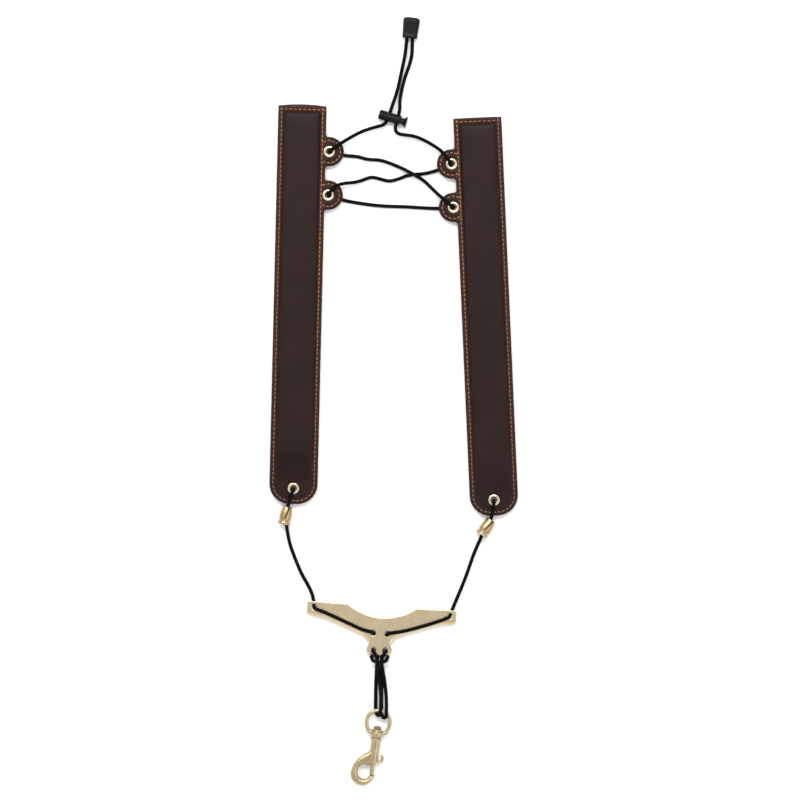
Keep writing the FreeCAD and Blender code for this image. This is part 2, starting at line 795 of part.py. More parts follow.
def cord_end():
    """The tapered cord end: a shell, a domed lid that closes it, and the knot inside."""
    place = lying_on_y(CORD_END)
    wide = ("end_mouth_half_width", "end_top_half_width")
    deep = ("end_mouth_half_depth", "end_top_half_depth")
    outer = wedge("end_outer", "0", "end_shell_length", wide, deep)
    top = size("end_shell_length")
    soft = rounded("end_soft", outer, 1.6, lambda edge: edge.BoundBox.YMin < top - 1e-4)
    cavity = primitive(
        "Part::Box",
        "end_cavity",
        {
            "Length": "end_mouth_half_width + end_mouth_half_width - end_wall - end_wall",
            "Width": "end_shell_length - end_floor",
            "Height": "end_mouth_half_depth + end_mouth_half_depth - end_wall - end_wall",
        },
        at=("end_wall - end_mouth_half_width", "end_floor", "end_wall - end_mouth_half_depth"),
    )
    along_y = Rotation(Vector(1, 0, 0), -90)
    holes = [
        primitive(
            "Part::Cylinder",
            "end_hole",
            {"Radius": "end_hole_radius", "Height": "end_floor + 1"},
            at=(x, "- 0.5", "0"),
            turn=along_y,
        )
        for x in ("end_hole_offset", "- end_hole_offset")
    ]
    gone = boolean("Part::MultiFuse", "end_gone", [cavity] + holes)
    sub_part(cut("end_shell_cut", soft, gone), "cord_end_shell", place)

    cap = primitive(
        "Part::Box",
        "lid_cap",
        {
            "Length": "end_top_half_width + end_top_half_width",
            "Width": "end_length - end_shell_length",
            "Height": "end_top_half_depth + end_top_half_depth",
        },
        at=("0 - end_top_half_width", "end_shell_length", "0 - end_top_half_depth"),
    )
    long = size("end_length")
    dome = rounded("lid_dome", cap, 1.3, lambda edge: edge.BoundBox.YMin > long - 1e-4)
    plug = primitive(
        "Part::Box",
        "lid_plug",
        {
            "Length": "end_mouth_half_width + end_mouth_half_width - end_wall - end_wall - 0.1",
            "Width": "2",
            "Height": "end_mouth_half_depth + end_mouth_half_depth - end_wall - end_wall - 0.1",
        },
        at=(
            "end_wall - end_mouth_half_width + 0.05",
            "end_shell_length - 2",
            "end_wall - end_mouth_half_depth + 0.05",
        ),
    )
    sub_part(boolean("Part::MultiFuse", "lid", [dome, plug]), "cord_end_lid", place)

    block = primitive(
        "Part::Box",
        "end_knot_block",
        {"Length": "9", "Width": "6", "Height": "4"},
        at=("- 4.5", "end_floor + 2.2", "- 2"),
    )
    sub_part(rounded("end_knot", block, 1.4, lambda edge: True), "cord_end_knot", place)


# ---------------------------------------------------------------- height plate

def height_plate():
    """The flat plate that the cord runs through: two arms, a neck and two ears."""
    body = new_body("height_plate")
    sketch = sketch_on(body, "XY_Plane", "plate_outline")
    right = [
        ("plate_half_span", "plate_end_top"),
        ("plate_half_span", "- plate_end_foot"),
        ("plate_knee", "- plate_knee_drop"),
        ("plate_throat", "- plate_throat_drop"),
        ("plate_neck", "- plate_neck_drop"),
        ("plate_ear", "- plate_ear_drop"),
        ("plate_ear_foot", "- plate_ear_foot_drop"),
    ]
    left = [("- " + x, y) for x, y in reversed(right)]
    shoulders = [
        ("- plate_shoulder", "plate_shoulder_top", "plate_dip_radius"),
        ("plate_shoulder", "plate_shoulder_top"),
    ]
    outline(sketch, right + [("0", "- plate_tip_drop")] + left + shoulders)
    pad(body, sketch, "plate_thickness")
    holes = sketch_on(body, "XY_Plane", "plate_holes")
    spots = [
        ("outer_hole", "outer_hole_top"),
        ("inner_hole", "- inner_hole_drop"),
        ("lower_hole", "- lower_hole_drop"),
    ]
    circles(holes, spots + [("- " + x, y) for x, y in spots], "plate_hole_radius")
    pocket(body, holes)
    lift = Placement(Vector(0, 0, size("plate_low_z")), Rotation())
    sub_part(body, "height_plate", PLATE_PLACE * lift)


# ---------------------------------------------------------------- snap hook

def eye_path():
    """The eye's closed wire line, in the XZ plane: a round top, and sides that close in."""
    centre, radius = -size("eye_centre"), size("eye_radius")
    side_radius, drop = size("eye_side_radius"), size("eye_side_drop")
    corner = size("eye_corner_radius")
    lean = math.asin(drop / side_radius)
    side_centre = radius - side_radius
    middle_lean = lean / 2
    side_middle = Vector(
        side_centre + side_radius * math.cos(middle_lean), 0,
        centre + side_radius * math.sin(middle_lean),
    )
    side_end = Vector(
        side_centre + side_radius * math.cos(lean), 0, centre + side_radius * math.sin(lean)
    )
    corner_centre = side_end - Vector(math.cos(lean), 0, math.sin(lean)) * corner
    halfway = (lean + math.pi / 2) / 2
    corner_middle = corner_centre + Vector(math.cos(halfway), 0, math.sin(halfway)) * corner
    corner_end = corner_centre + Vector(0, 0, corner)
    side_start = Vector(radius, 0, centre)

    def other(spot):
        return Vector(-spot.x, 0, spot.z)

    top = Vector(0, 0, centre - radius)
    return Part.Wire([
        Part.LineSegment(Vector(0, 0, corner_end.z), corner_end).toShape(),
        Part.Arc(corner_end, corner_middle, side_end).toShape(),
        Part.Arc(side_end, side_middle, side_start).toShape(),
        Part.Arc(side_start, top, other(side_start)).toShape(),
        Part.Arc(other(side_start), other(side_middle), other(side_end)).toShape(),
        Part.Arc(other(side_end), other(corner_middle), other(corner_end)).toShape(),
        Part.LineSegment(other(corner_end), Vector(0, 0, corner_end.z)).toShape(),
    ])


def eye():
    """The swivel eye: a bent wire ring cast on a collar."""
    ring = doc.addObject("Part::Feature", "eye_wire")
    ring.Shape = tube(eye_path(), size("wire_radius"))
    collar = new_body("eye_collar")
    turn(
        collar,
        [
            ("0", "- collar_top"),
            ("collar_radius - 1.6", "- collar_top"),
            ("collar_radius - 0.2", "- collar_top + 1.3"),
            ("collar_radius", "- collar_foot - 2.4"),
            ("collar_radius - 0.8", "- collar_foot"),
            ("0", "- collar_foot"),
        ],
    )
    bore = primitive(
        "Part::Cylinder",
        "collar_bore",
        {"Radius": "collar_bore_radius", "Height": "collar_top + 2"},
        at=("0", "0", "- collar_top - 1"),
    )
    whole = boolean("Part::MultiFuse", "eye_whole", [ring, collar])
    sub_part(cut("eye_cut", whole, bore), "swivel_eye", lying(HOOK))


def swivel_rivet():
    """The rivet whose head turns in the eye and whose post is set in the hook's barrel."""
    body = new_body("swivel_rivet")
    turn(
        body,
        [
            ("0", "- collar_top - 2.4"),
            ("rivet_head_radius - 1.1", "- collar_top - 2.1"),
            ("rivet_head_radius", "- collar_top - 1"),
            ("rivet_head_radius", "- collar_top - 0.06"),
            ("post_radius", "- collar_top - 0.06"),
            ("post_radius", "post_depth"),
            ("0", "post_depth"),
        ],
    )
    sub_part(body, "swivel_rivet", lying(HOOK))


def hook_body():
    """The cast barrel and hook, bored for the bolt and slotted for its trigger."""
    body = new_body("hook_body")
    turn(
        body,
        [
            ("0", "0"),
            ("barrel_top_radius - 0.4", "0"),
            ("barrel_top_radius", "0.5"),
            ("barrel_waist_radius", "11"),
            ("barrel_waist_radius", "barrel_length - 2.4"),
            ("bolt_bore_radius + 0.6", "barrel_length"),
            ("0", "barrel_length"),
        ],
    )
    arm = sketch_on(body, "XZ_Plane", "hook_outline")
    outline(
        arm,
        [
            ("- 2.4", "10.4"),
            ("- 2.4", "barrel_length + 0.1"),
            ("- 4.6", "barrel_length + 1.9", "- hook_inner_radius"),
            ("- hook_centre_out - hook_inner_radius", "hook_throat_along", "- hook_inner_radius"),
            ("- hook_centre_out", "hook_throat_along + hook_inner_radius", "- hook_inner_radius"),
            ("- 1.55", "bolt_end + 0.1"),
            ("2.2", "bolt_end + 0.1"),
            ("2.25", "31.6", "hook_nose_radius"),
            ("- hook_centre_out", "hook_centre_along + hook_outer_radius", "hook_outer_radius"),
            ("- hook_centre_out - hook_outer_radius", "hook_centre_along", "hook_back_radius"),
            ("- 15.8", "23.6", "hook_back_radius"),
            ("- 9.3", "15.3"),
            ("- 4.1", "11.9"),
        ],
    )
    pad(body, arm, "hook_thickness", both_ways=True)
    turn(
        body,
        [
            ("0", "bolt_bore_start"),
            ("bolt_bore_radius", "bolt_bore_start"),
            ("bolt_bore_radius", "barrel_length + 3"),
            ("0", "barrel_length + 3"),
        ],
        "PartDesign::Groove",
    )
    turn(
        body,
        [
            ("0", "- 1"),
            ("post_radius", "- 1"),
            ("post_radius", "post_depth"),
            ("0", "post_depth"),
        ],
        "PartDesign::Groove",
    )
    slot = sketch_on(body, "YZ_Plane", "trigger_slot")
    half = "%.2f" % (size("slot_width") / 2)
    outline(
        slot,
        [
            ("-" + half, "slot_start"),
            (half, "slot_start"),
            (half, "slot_end"),
            ("-" + half, "slot_end"),
        ],
    )
    pocket(body, slot, depth="barrel_top_radius + 1", backwards=True)
    sub_part(body, "hook_body", lying(HOOK))


def hook_bolt():
    """The sliding bolt that closes the hook, with a cross hole for the trigger."""
    body = new_body("hook_bolt")
    turn(
        body,
        [
            ("0", "bolt_start"),
            ("bolt_radius", "bolt_start"),
            ("bolt_radius", "bolt_end"),
            ("0", "bolt_end"),
        ],
    )
    hole = sketch_on(body, "YZ_Plane", "trigger_hole")
    circles(hole, [("0", "trigger_along")], "trigger_hole_radius")
    pocket(body, hole, depth="bolt_radius + 1", backwards=True)
    sub_part(body, "hook_bolt", lying(HOOK))


def thumb_trigger():
    """The bent wire that the thumb pulls back."""
    along = size("trigger_along")
    bend = [
        (0.1, 0, along), (4.0, 0, along + 0.1), (7.2, 0, along - 0.3), (7.9, 0, along - 3.2),
        (5.4, 0, along - 4.6),
    ]
    path, radii = rounded_path(bend)
    made = doc.addObject("Part::Feature", "thumb_trigger")
    made.Shape = tube(path, size("trigger_radius"))
    sub_part(made, "thumb_trigger", lying(HOOK))


def snap_hook():
    eye()
    swivel_rivet()
    hook_body()
    hook_bolt()
    thumb_trigger()
    start = size("bolt_bore_start")
    foot = lying(HOOK) * Placement(Vector(0, 0, start), Rotation())
    spring("bolt_spring", 1.55, 0.25, size("bolt_start") - start, 6, foot)


# ---------------------------------------------------------------- the whole strap

for pad_side in ("left", "right"):
    shoulder_pad(pad_side)
cord_lock()
cord_end()
height_plate()
snap_hook()
for cord_name in ROUTES:
    cord(cord_name)

doc.recompute()
for item in doc.Objects:
    if {"Invalid", "Error"} & set(item.State):
        raise RuntimeError("%s failed: %s" % (item.Name, item.State))
for node in nodes:
    if node.Shape.isNull() or not node.Shape.isValid() or not node.Shape.Solids:
        raise RuntimeError(node.Label + " has no valid solid")
for node in nodes:
    node.Shape.exportStep("parts/%s.step" % node.Label)
print("%d parts" % len(nodes))
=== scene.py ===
import math

import bmesh
import bpy
import numpy as np
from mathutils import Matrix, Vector, geometry, kdtree, noise


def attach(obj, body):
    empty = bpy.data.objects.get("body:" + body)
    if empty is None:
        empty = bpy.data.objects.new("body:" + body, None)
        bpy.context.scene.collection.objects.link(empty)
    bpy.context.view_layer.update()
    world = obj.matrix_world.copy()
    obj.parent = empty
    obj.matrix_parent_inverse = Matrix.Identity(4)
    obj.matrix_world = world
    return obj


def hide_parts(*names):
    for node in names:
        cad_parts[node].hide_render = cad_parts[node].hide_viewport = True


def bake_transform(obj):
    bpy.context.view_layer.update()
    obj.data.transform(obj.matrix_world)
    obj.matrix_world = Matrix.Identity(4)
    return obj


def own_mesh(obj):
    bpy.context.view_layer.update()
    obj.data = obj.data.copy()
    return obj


# The looks of the neck strap. All lengths are in millimetres until a mesh is made.

MM = 0.001
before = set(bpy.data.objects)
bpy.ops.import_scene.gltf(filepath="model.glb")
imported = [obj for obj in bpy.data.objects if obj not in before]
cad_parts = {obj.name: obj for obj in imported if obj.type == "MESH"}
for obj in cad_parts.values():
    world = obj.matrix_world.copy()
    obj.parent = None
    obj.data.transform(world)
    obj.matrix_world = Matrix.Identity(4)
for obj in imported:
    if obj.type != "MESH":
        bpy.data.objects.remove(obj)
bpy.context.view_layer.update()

# ---- places, as in the CAD model

PADS = {"left": ((-75.9, 245.3), -1.37, 1), "right": ((69.1, 235.5), 2.5, -1)}
TOP_CREST = {"left": 1.3, "right": 0.2}
PAD_HALF_WIDTH = 20.0
PAD_LENGTH = 330.5
PADDING_FOOT = (285.0, 313.0)
TIP_RADIUS = 17.0
TAB_REACH = 23.0
TAB_DROPS = (37.4, 73.5)
TAB_RADIUS = 12.2
TIP_EYELET_DROP = 317.5
EYELETS = {
    "upper_tab_eyelet": (TAB_REACH, -TAB_DROPS[0]),
    "lower_tab_eyelet": (TAB_REACH, -TAB_DROPS[1]),
    "tip_eyelet": (0, -TIP_EYELET_DROP),
}
EYELET_HOLE = 2.85
SEAM_Z = 5.1
BORDER_TOP = 6.4
BORDER_LOW = 3.8
STITCH_INSET = 2.9
CREASE_INSET = 4.6
TAB_STITCH_RADIUS = 9.3
CORD_RADIUS = 1.5

AXIS_HEIGHT = 5.25
BELLS = {
    "left": ((-88.2, -87.2, AXIS_HEIGHT), (-0.217, -0.976, 0)),
    "right": ((80.8, -98.3, AXIS_HEIGHT), (-0.566, -0.824, 0)),
}
LOCK = ((-12.4, 238.7, 4.85), (0.9537, -0.3007, 0))
CORD_END = ((13.0, 301.7, 4.05), (0.113, 0.9936, 0))
PLATE = ((-10.2, -175.3, 4.3), -3.9)
HOOK = ((-14.7, -279.3, AXIS_HEIGHT), (-0.124, -0.992, 0))

ROUTES = {
    "left_tail_cord": [
        (-4.48, 236.2, 4.85), (-1.62, 245.27, 4.85), (2.6, 257.0, 2.4), (4.9, 267.5, 1.7),
        (6.9, 277.5, 1.6), (9.2, 287.5, 2.2), (10.2, 296.6, 3.95), (11.26, 305.9, 4.05),
    ],
    "right_tail_cord": [
        (2.67, 233.95, 4.85), (5.0, 241.34, 4.85), (4.7, 250.0, 3.6), (6.5, 259.2, 2.0),
        (9.0, 269.5, 1.6), (13.0, 279.8, 1.6), (15.1, 288.3, 2.4), (15.0, 295.4, 3.8),
        (15.65, 305.4, 4.05),
    ],
    "lacing_cord": [
        (-4.48, 236.2, 4.85), (-6.4, 230.1, 4.85), (-15.0, 228.0, 4.4), (-26.5, 224.4, 5.0),
        (-35.7, 219.3, 6.6), (-43.0, 214.8, 8.5), (-53.8, 207.4, 8.6), (-53.8, 207.4, 1.6),
        (-41.5, 204.2, 1.6), (-29.8, 203.6, 1.6), (-22.5, 201.0, 1.6), (-10.5, 200.7, 1.6),
        (1.5, 196.0, 1.9), (9.7, 192.2, 4.9), (24.5, 183.9, 5.0), (31.0, 177.2, 6.2),
        (38.4, 170.0, 8.5), (49.3, 161.1, 8.6), (49.3, 161.1, 1.6), (36.6, 160.2, 1.6),
        (22.5, 160.9, 1.6), (8.0, 161.9, 1.6), (-9.0, 162.2, 1.6), (-26.0, 164.2, 1.6),
        (-42.0, 167.0, 1.6), (-54.7, 171.3, 1.6), (-54.7, 171.3, 8.6), (-49.8, 178.3, 8.65),
        (-41.8, 181.0, 7.7), (-34.0, 181.6, 4.6), (-26.5, 183.6, 2.2), (-19.0, 186.8, 1.6),
        (-11.4, 184.9, 1.6), (-4.0, 182.7, 1.6), (4.3, 185.0, 1.6), (12.9, 188.5, 1.6),
        (23.6, 188.9, 1.6), (35.0, 191.5, 1.6), (47.7, 197.1, 1.6), (47.7, 197.1, 8.6),
        (39.9, 207.4, 8.5), (33.5, 212.0, 6.8), (26.0, 216.5, 5.2), (17.0, 220.4, 4.5),
        (8.8, 221.3, 4.4), (2.3, 222.5, 4.6), (0.57, 227.29, 4.85), (2.67, 233.95, 4.85),
    ],
    "left_loop_cord": [
        (-90.0, -95.5, 7.2), (-88.5, -88.6, 7.2), (-87.4, -84.1, 8.4), (-85.8, -78.6, 8.6),
        (-83.5, -72.55, 8.6), (-83.5, -72.55, 1.6), (-85.8, -79.0, 1.65), (-87.4, -84.2, 1.9),
        (-88.5, -88.5, 3.35), (-90.0, -95.5, 3.3),
    ],
    "right_loop_cord": [
        (76.0, -105.3, 7.2), (79.9, -99.7, 7.1), (81.4, -93.9, 8.4), (82.2, -88.0, 8.6),
        (82.98, -82.4, 8.6), (82.98, -82.4, 1.6), (82.2, -88.0, 1.65), (81.4, -93.9, 2.05),
        (79.9, -99.7, 3.4), (76.0, -105.3, 3.3),
    ],
    "left_drop_cord": [
        (-89.6, -98.8, 4.7), (-89.0, -104.8, 3.6), (-88.0, -111.5, 2.0), (-86.4, -119.0, 1.6),
        (-82.2, -130.4, 1.6), (-76.9, -143.2, 1.6), (-70.9, -153.2, 1.6), (-67.4, -161.0, 1.6),
        (-66.5, -169.3, 1.6), (-66.2, -171.8, 6.8), (-57.0, -175.0, 6.8), (-46.0, -180.15, 6.8),
    ],
    "right_drop_cord": [
        (74.4, -107.9, 4.8), (71.9, -113.6, 3.5), (69.0, -120.1, 1.9), (65.2, -129.3, 1.6),
        (60.3, -144.0, 1.6), (54.9, -157.4, 1.6), (50.6, -167.5, 1.6), (46.8, -176.9, 1.6),
        (45.8, -179.1, 6.9), (38.0, -182.3, 6.8), (27.5, -185.45, 6.8),
    ],
    "suspension_cord": [
        (-46.0, -180.15, 6.8), (-35.0, -185.3, 6.8), (-26.0, -189.6, 6.8), (-18.2, -191.3, 6.9),
        (-16.6, -192.7, 1.6), (-14.2, -200.5, 1.6), (-13.9, -209.0, 1.6), (-14.4, -222.0, 1.6),
        (-15.1, -235.0, 1.6), (-15.3, -247.0, 1.6), (-15.3, -259.6, 1.7), (-11.6, -261.2, 8.6),
        (-10.9, -253.0, 8.6), (-10.7, -243.0, 6.8), (-12.3, -230.0, 5.3), (-13.4, -219.5, 5.6),
        (-13.8, -213.6, 6.3), (-17.4, -206.4, 7.6), (-17.7, -205.9, 1.6), (-18.7, -213.4, 1.6),
        (-18.8, -211.0, 9.0), (-17.6, -215.3, 9.4), (-12.0, -216.2, 9.5), (-6.4, -215.5, 9.4),
        (-5.2, -211.3, 9.0), (-5.4, -213.6, 1.6), (-6.7, -206.6, 1.6), (-7.0, -207.1, 7.6),
        (-10.4, -213.8, 6.3), (-10.0, -219.5, 5.6), (-8.1, -230.0, 5.3), (-6.4, -243.0, 6.8),
        (-6.3, -253.5, 8.6), (-6.3, -262.6, 8.7), (-10.4, -262.4, 1.7), (-10.3, -249.0, 1.6),
        (-10.2, -236.0, 1.6), (-10.1, -222.0, 1.6), (-10.3, -209.0, 1.6), (-9.8, -201.0, 1.6),
        (-6.0, -193.5, 1.6), (-4.6, -192.3, 6.9), (4.6, -191.4, 6.8), (17.0, -188.6, 6.8),
        (27.5, -185.45, 6.8),
    ],
}

# ---- materials


def rgb(red, green, blue):
    """A display colour, 0 to 255, as linear red, green, blue and alpha."""
    linear = [((c / 255 + 0.055) / 1.055) ** 2.4 if c > 10 else c / 255 / 12.92
              for c in (red, green, blue)]
    return (*linear, 1.0)


def fed(tree, made, inputs):
    """Sets a node's inputs. Each is a value, or another node's output."""
    for key, value in inputs.items():
        if isinstance(value, bpy.types.NodeSocket):
            tree.links.new(value, made.inputs[key])
        else:
            made.inputs[key].default_value = value
    return made


def node(tree, kind, inputs, **settings):
    made = tree.nodes.new("ShaderNode" + kind)
    for key, value in settings.items():
        setattr(made, key, value)
    return fed(tree, made, inputs)


def material(name, inputs):
    """A material. inputs(tree, place) gives its shader's inputs, with the place in mm."""
    made = bpy.data.materials.new(name)
    made.use_nodes = True
    tree = made.node_tree
    place = node(tree, "TexCoord", {}).outputs["Object"]
    scaled = node(tree, "VectorMath", {0: place, 1: (1000, 1000, 1000)}, operation="MULTIPLY")
    fed(tree, tree.nodes["Principled BSDF"], inputs(tree, scaled.outputs[0]))
    return made


def noise_value(tree, place, scale, detail=3.0, stretch=None):
    if stretch:
        place = node(tree, "VectorMath", {0: place, 1: stretch}, operation="MULTIPLY").outputs[0]
    inputs = {"Vector": place, "Scale": scale, "Detail": detail}
    return node(tree, "TexNoise", inputs).outputs["Fac"]


def ranged(tree, value, low, high, to_low=0.0, to_high=1.0):
    return node(tree, "MapRange", {
        "Value": value, "From Min": low, "From Max": high, "To Min": to_low, "To Max": to_high,
    }).outputs["Result"]


def mixed(tree, factor, first, second):
    return node(tree, "Mix", {0: factor, 6: first, 7: second}, data_type="RGBA").outputs[2]


def attribute(tree, name):
    return node(tree, "Attribute", {}, attribute_name=name).outputs["Fac"]


def bumped(tree, height, strength, depth_mm):
    return node(tree, "Bump", {"Height": height, "Strength": strength,
                               "Distance": depth_mm * MM}).outputs["Normal"]


def grain_height(tree, place):
    """Pebbled leather: cells with rounded tops, and fine pores."""
    cells = node(tree, "TexVoronoi", {"Vector": place, "Scale": 1.15},
                 feature="DISTANCE_TO_EDGE").outputs["Distance"]
    rounded = ranged(tree, cells, 0.0, 0.16)
    pores = noise_value(tree, place, 3.5, 4.0)
    return node(tree, "Math", {0: rounded, 1: 0.7, 2: pores}, operation="MULTIPLY_ADD").outputs[0]


def leather(tree, place):
    """Dark brown, redder and worn along its border."""
    broad = ranged(tree, noise_value(tree, place, 0.035, 4.0), 0.35, 0.65)
    spots = ranged(tree, noise_value(tree, place, 0.5, 5.0), 0.35, 0.7)
    crown = mixed(tree, broad, rgb(26, 14, 12), rgb(33, 17, 14))
    edge = mixed(tree, spots, rgb(40, 21, 14), rgb(72, 40, 25))
    return {
        "Base Color": mixed(tree, attribute(tree, "border"), crown, edge),
        "Roughness": ranged(tree, noise_value(tree, place, 1.2, 3.0), 0.3, 0.7, 0.32, 0.42),
        "Specular IOR Level": 0.12,
        "Normal": bumped(tree, grain_height(tree, place), 0.45, 0.09),
    }


def cut_edge(tree, place):
    """The fibrous, dyed side of the cut leather."""
    fibres = noise_value(tree, place, 2.2, 5.0, (1, 1, 0.35))
    return {
        "Base Color": mixed(tree, fibres, rgb(36, 18, 13), rgb(92, 48, 30)),
        "Roughness": 0.8,
        "Normal": bumped(tree, fibres, 0.6, 0.12),
    }


def thread(tree, place):
    """Copper brown waxed thread, twisted."""
    tone = ranged(tree, noise_value(tree, place, 0.35, 2.0), 0.35, 0.65)
    fleck = ranged(tree, noise_value(tree, place, 5.0, 3.0), 0.35, 0.8)
    warm = mixed(tree, tone, rgb(162, 98, 56), rgb(204, 140, 88))
    rubbed_off = mixed(tree, attribute(tree, "worn"), warm, rgb(132, 102, 86))
    return {
        "Base Color": mixed(tree, fleck, rubbed_off, rgb(96, 58, 40)),
        "Roughness": 0.55,
        "Normal": bumped(tree, noise_value(tree, place, 6.0, 2.0), 0.4, 0.1),
    }


def braid(tree, _):
    """Black braid: the weave is in the mesh, and the fibres are here."""
    around = node(tree, "UVMap", {}, uv_map="braid").outputs["UV"]
    fibres = noise_value(tree, around, 1.0, 3.0, (90, 4.5, 1))
    return {
        "Base Color": mixed(tree, fibres, rgb(0, 0, 0), rgb(5, 5, 5)),
        "Roughness": 0.72, "Specular IOR Level": 0.08,
        "Sheen Weight": 0.02, "Sheen Roughness": 0.4,
        "Normal": bumped(tree, fibres, 0.5, 0.06),
    }


def metal(name, colour, dull, rough, brushed=None, relief=0.02):
    """Plated metal: satin or polished, with faint handling marks."""
    def inputs(tree, place):
        smears = ranged(tree, noise_value(tree, place, 0.12, 4.0), 0.3, 0.7)
        fine = noise_value(tree, place, 2.5, 3.0, brushed)
        return {
            "Metallic": 1.0,
            "Base Color": mixed(tree, smears, rgb(*colour), rgb(*dull)),
            "Roughness": ranged(tree, fine, 0.25, 0.75, rough * 0.8, rough * 1.25),
            "Normal": bumped(tree, fine, 0.25, relief),
        }

    return material(name, inputs)


def plastic(tree, place):
    """Black and moulded, with a fine satin texture."""
    tone = noise_value(tree, place, 0.4, 3.0)
    spark = noise_value(tree, place, 5.0, 2.0)
    return {
        "Base Color": mixed(tree, tone, rgb(3, 3, 4), rgb(8, 8, 9)),
        "Roughness": ranged(tree, spark, 0.3, 0.7, 0.3, 0.42),
        "Specular IOR Level": 0.16,
        "Normal": bumped(tree, spark, 0.25, 0.04),
    }


def pale_floor(tree, place):
    tone = noise_value(tree, place, 0.004, 2.0)
    return {"Base Color": mixed(tree, tone, rgb(248, 248, 248), rgb(253, 253, 252)),
            "Roughness": 0.9}


LEATHER = material("dark_leather", leather)
CUT_EDGE = material("leather_cut_edge", cut_edge)
THREAD = material("waxed_thread", thread)
BRAID = material("black_braid", braid)
EYELET_METAL = metal("eyelet_gold", (222, 208, 184), (202, 184, 154), 0.2)
BELL_METAL = metal("bell_gold", (176, 155, 118), (156, 130, 95), 0.22)
PLATE_METAL = metal("plate_gold", (217, 201, 170), (206, 187, 150), 0.3, (0.15, 1.6, 1))
HOOK_METAL = metal("hook_gold", (184, 170, 138), (166, 148, 115), 0.33, relief=0.05)
RIVET_METAL = metal("rivet_copper_gold", (172, 142, 108), (136, 106, 80), 0.3)
STEEL = metal("spring_steel", (190, 190, 190), (150, 150, 150), 0.3)
PLASTIC = material("black_moulded_plastic", plastic)

# ---- mesh tools


def added(name, data):
    made = bpy.data.objects.new(name, data)
    bpy.context.collection.objects.link(made)
    return made


def add_mesh(name, points, faces, materials, crease=40, indices=None):
    """A mesh object from points in millimetres, smooth except where it turns sharply."""
    mesh = bpy.data.meshes.new(name)
    mesh.from_pydata((np.asarray(points, float) * MM).tolist(), [], faces)
    for item in materials:
        mesh.materials.append(item)
    if indices is not None:
        mesh.polygons.foreach_set("material_index", indices)
    mesh.shade_smooth()
    mesh.set_sharp_from_angle(angle=math.radians(crease))
    mesh.update()
    return added(name, mesh)


def mark(piece, name, values):
    """Stores a number for each point of a piece, for its material to read."""
    layer = piece.data.attributes.new(name, "FLOAT", "POINT")
    layer.data.foreach_set("value", np.array(values, np.float32))


def evaluated(obj):
    graph = bpy.context.evaluated_depsgraph_get()
    return bpy.data.meshes.new_from_object(obj.evaluated_get(graph))


def frozen(obj, crease=40):
    """Applies an object's modifiers to its mesh."""
    mesh = evaluated(obj)
    obj.modifiers.clear()
    old, obj.data = obj.data, mesh
    bpy.data.meshes.remove(old)
    obj.data.shade_smooth()
    obj.data.set_sharp_from_angle(angle=math.radians(crease))
    return obj


def carved(obj, cutters, crease=40):
    """Cuts other closed meshes out of an object."""
    for cutter in cutters:
        cut = obj.modifiers.new("cut", "BOOLEAN")
        cut.operation, cut.solver, cut.object = "DIFFERENCE", "EXACT", cutter
    frozen(obj, crease)
    for cutter in cutters:
        bpy.data.objects.remove(cutter)
    return obj


def melted(pieces, voxel_mm, passes, crease=60):
    """Joins closed meshes into one skin with soft inner corners, as a casting has."""
    first = pieces[0]
    with bpy.context.temp_override(active_object=first, selected_editable_objects=pieces):
        bpy.ops.object.join()
    remesh = first.modifiers.new("skin", "REMESH")
    remesh.mode = "VOXEL"
    remesh.voxel_size = voxel_mm * MM
    smooth = first.modifiers.new("soft", "SMOOTH")
    smooth.factor = 0.5
    smooth.iterations = passes
    return frozen(first, crease)


def lathe(name, profile, place, material, segments=48, crease=35):
    """Turns a closed profile of (radius, height) about the Z axis of a place."""
    points, faces, rings = [], [], []
    for radius, height in profile:
        count = segments if radius else 1
        rings.append([len(points) + k % count for k in range(segments)])
        for k in range(count):
            angle = 2 * math.pi * k / segments
            points.append((radius * math.cos(angle), radius * math.sin(angle), height))
    if profile[0][0] or profile[-1][0]:
        rings.append(rings[0])
    for low, high in zip(rings, rings[1:]):
        for k in range(segments):
            n = (k + 1) % segments
            corners = list(dict.fromkeys((low[k], low[n], high[n], high[k])))
            if len(corners) > 2:
                faces.append(corners)
    return fixed(add_mesh(name, placed(points, place), faces, [material], crease), crease)


def fixed(obj, crease=40):
    """Turns every face of a closed mesh outwards."""
    shape = bmesh.new()
    shape.from_mesh(obj.data)
    bmesh.ops.recalc_face_normals(shape, faces=shape.faces)
    shape.to_mesh(obj.data)
    shape.free()
    obj.data.set_sharp_from_angle(angle=math.radians(crease))
    return obj


def axes(point, x_axis, y_axis, z_axis):
    made = np.eye(4)
    made[:3, 0], made[:3, 1], made[:3, 2], made[:3, 3] = x_axis, y_axis, z_axis, point
    return made


def lying(place):
    """Z along a direction, Y up."""
    ahead, up = Vector(place[1]).normalized(), Vector((0, 0, 1))
    return axes(place[0], up.cross(ahead), up, ahead)


def lying_on_y(place):
    """Y along a direction, Z up."""
    ahead, up = Vector(place[1]).normalized(), Vector((0, 0, 1))
    return axes(place[0], ahead.cross(up), ahead, up)


def turned_about_z(point, degrees):
    c, s = math.cos(math.radians(degrees)), math.sin(math.radians(degrees))
    return axes(point, (c, s, 0), (-s, c, 0), (0, 0, 1))


def placed(points, place):
    points = np.asarray(points, float)
    return points @ place[:3, :3].T + place[:3, 3]


def declared(piece, slot, body, *nodes):
    """Hides the CAD nodes that a piece stands for and puts the piece on its body; the slot is not
    used.
    """
    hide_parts(*nodes)
    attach(piece, body)


# ---- flat shapes


def closed_polyline(corners, step):
    """Points about a step apart round closed corners (x, y)."""
    corners = np.asarray(corners, float)
    found = []
    for a, b in zip(corners, np.roll(corners, -1, axis=0)):
        count = max(1, round(np.linalg.norm(b - a) / step))
        found += [a + (b - a) * k / count for k in range(count)]
    return np.array(found)


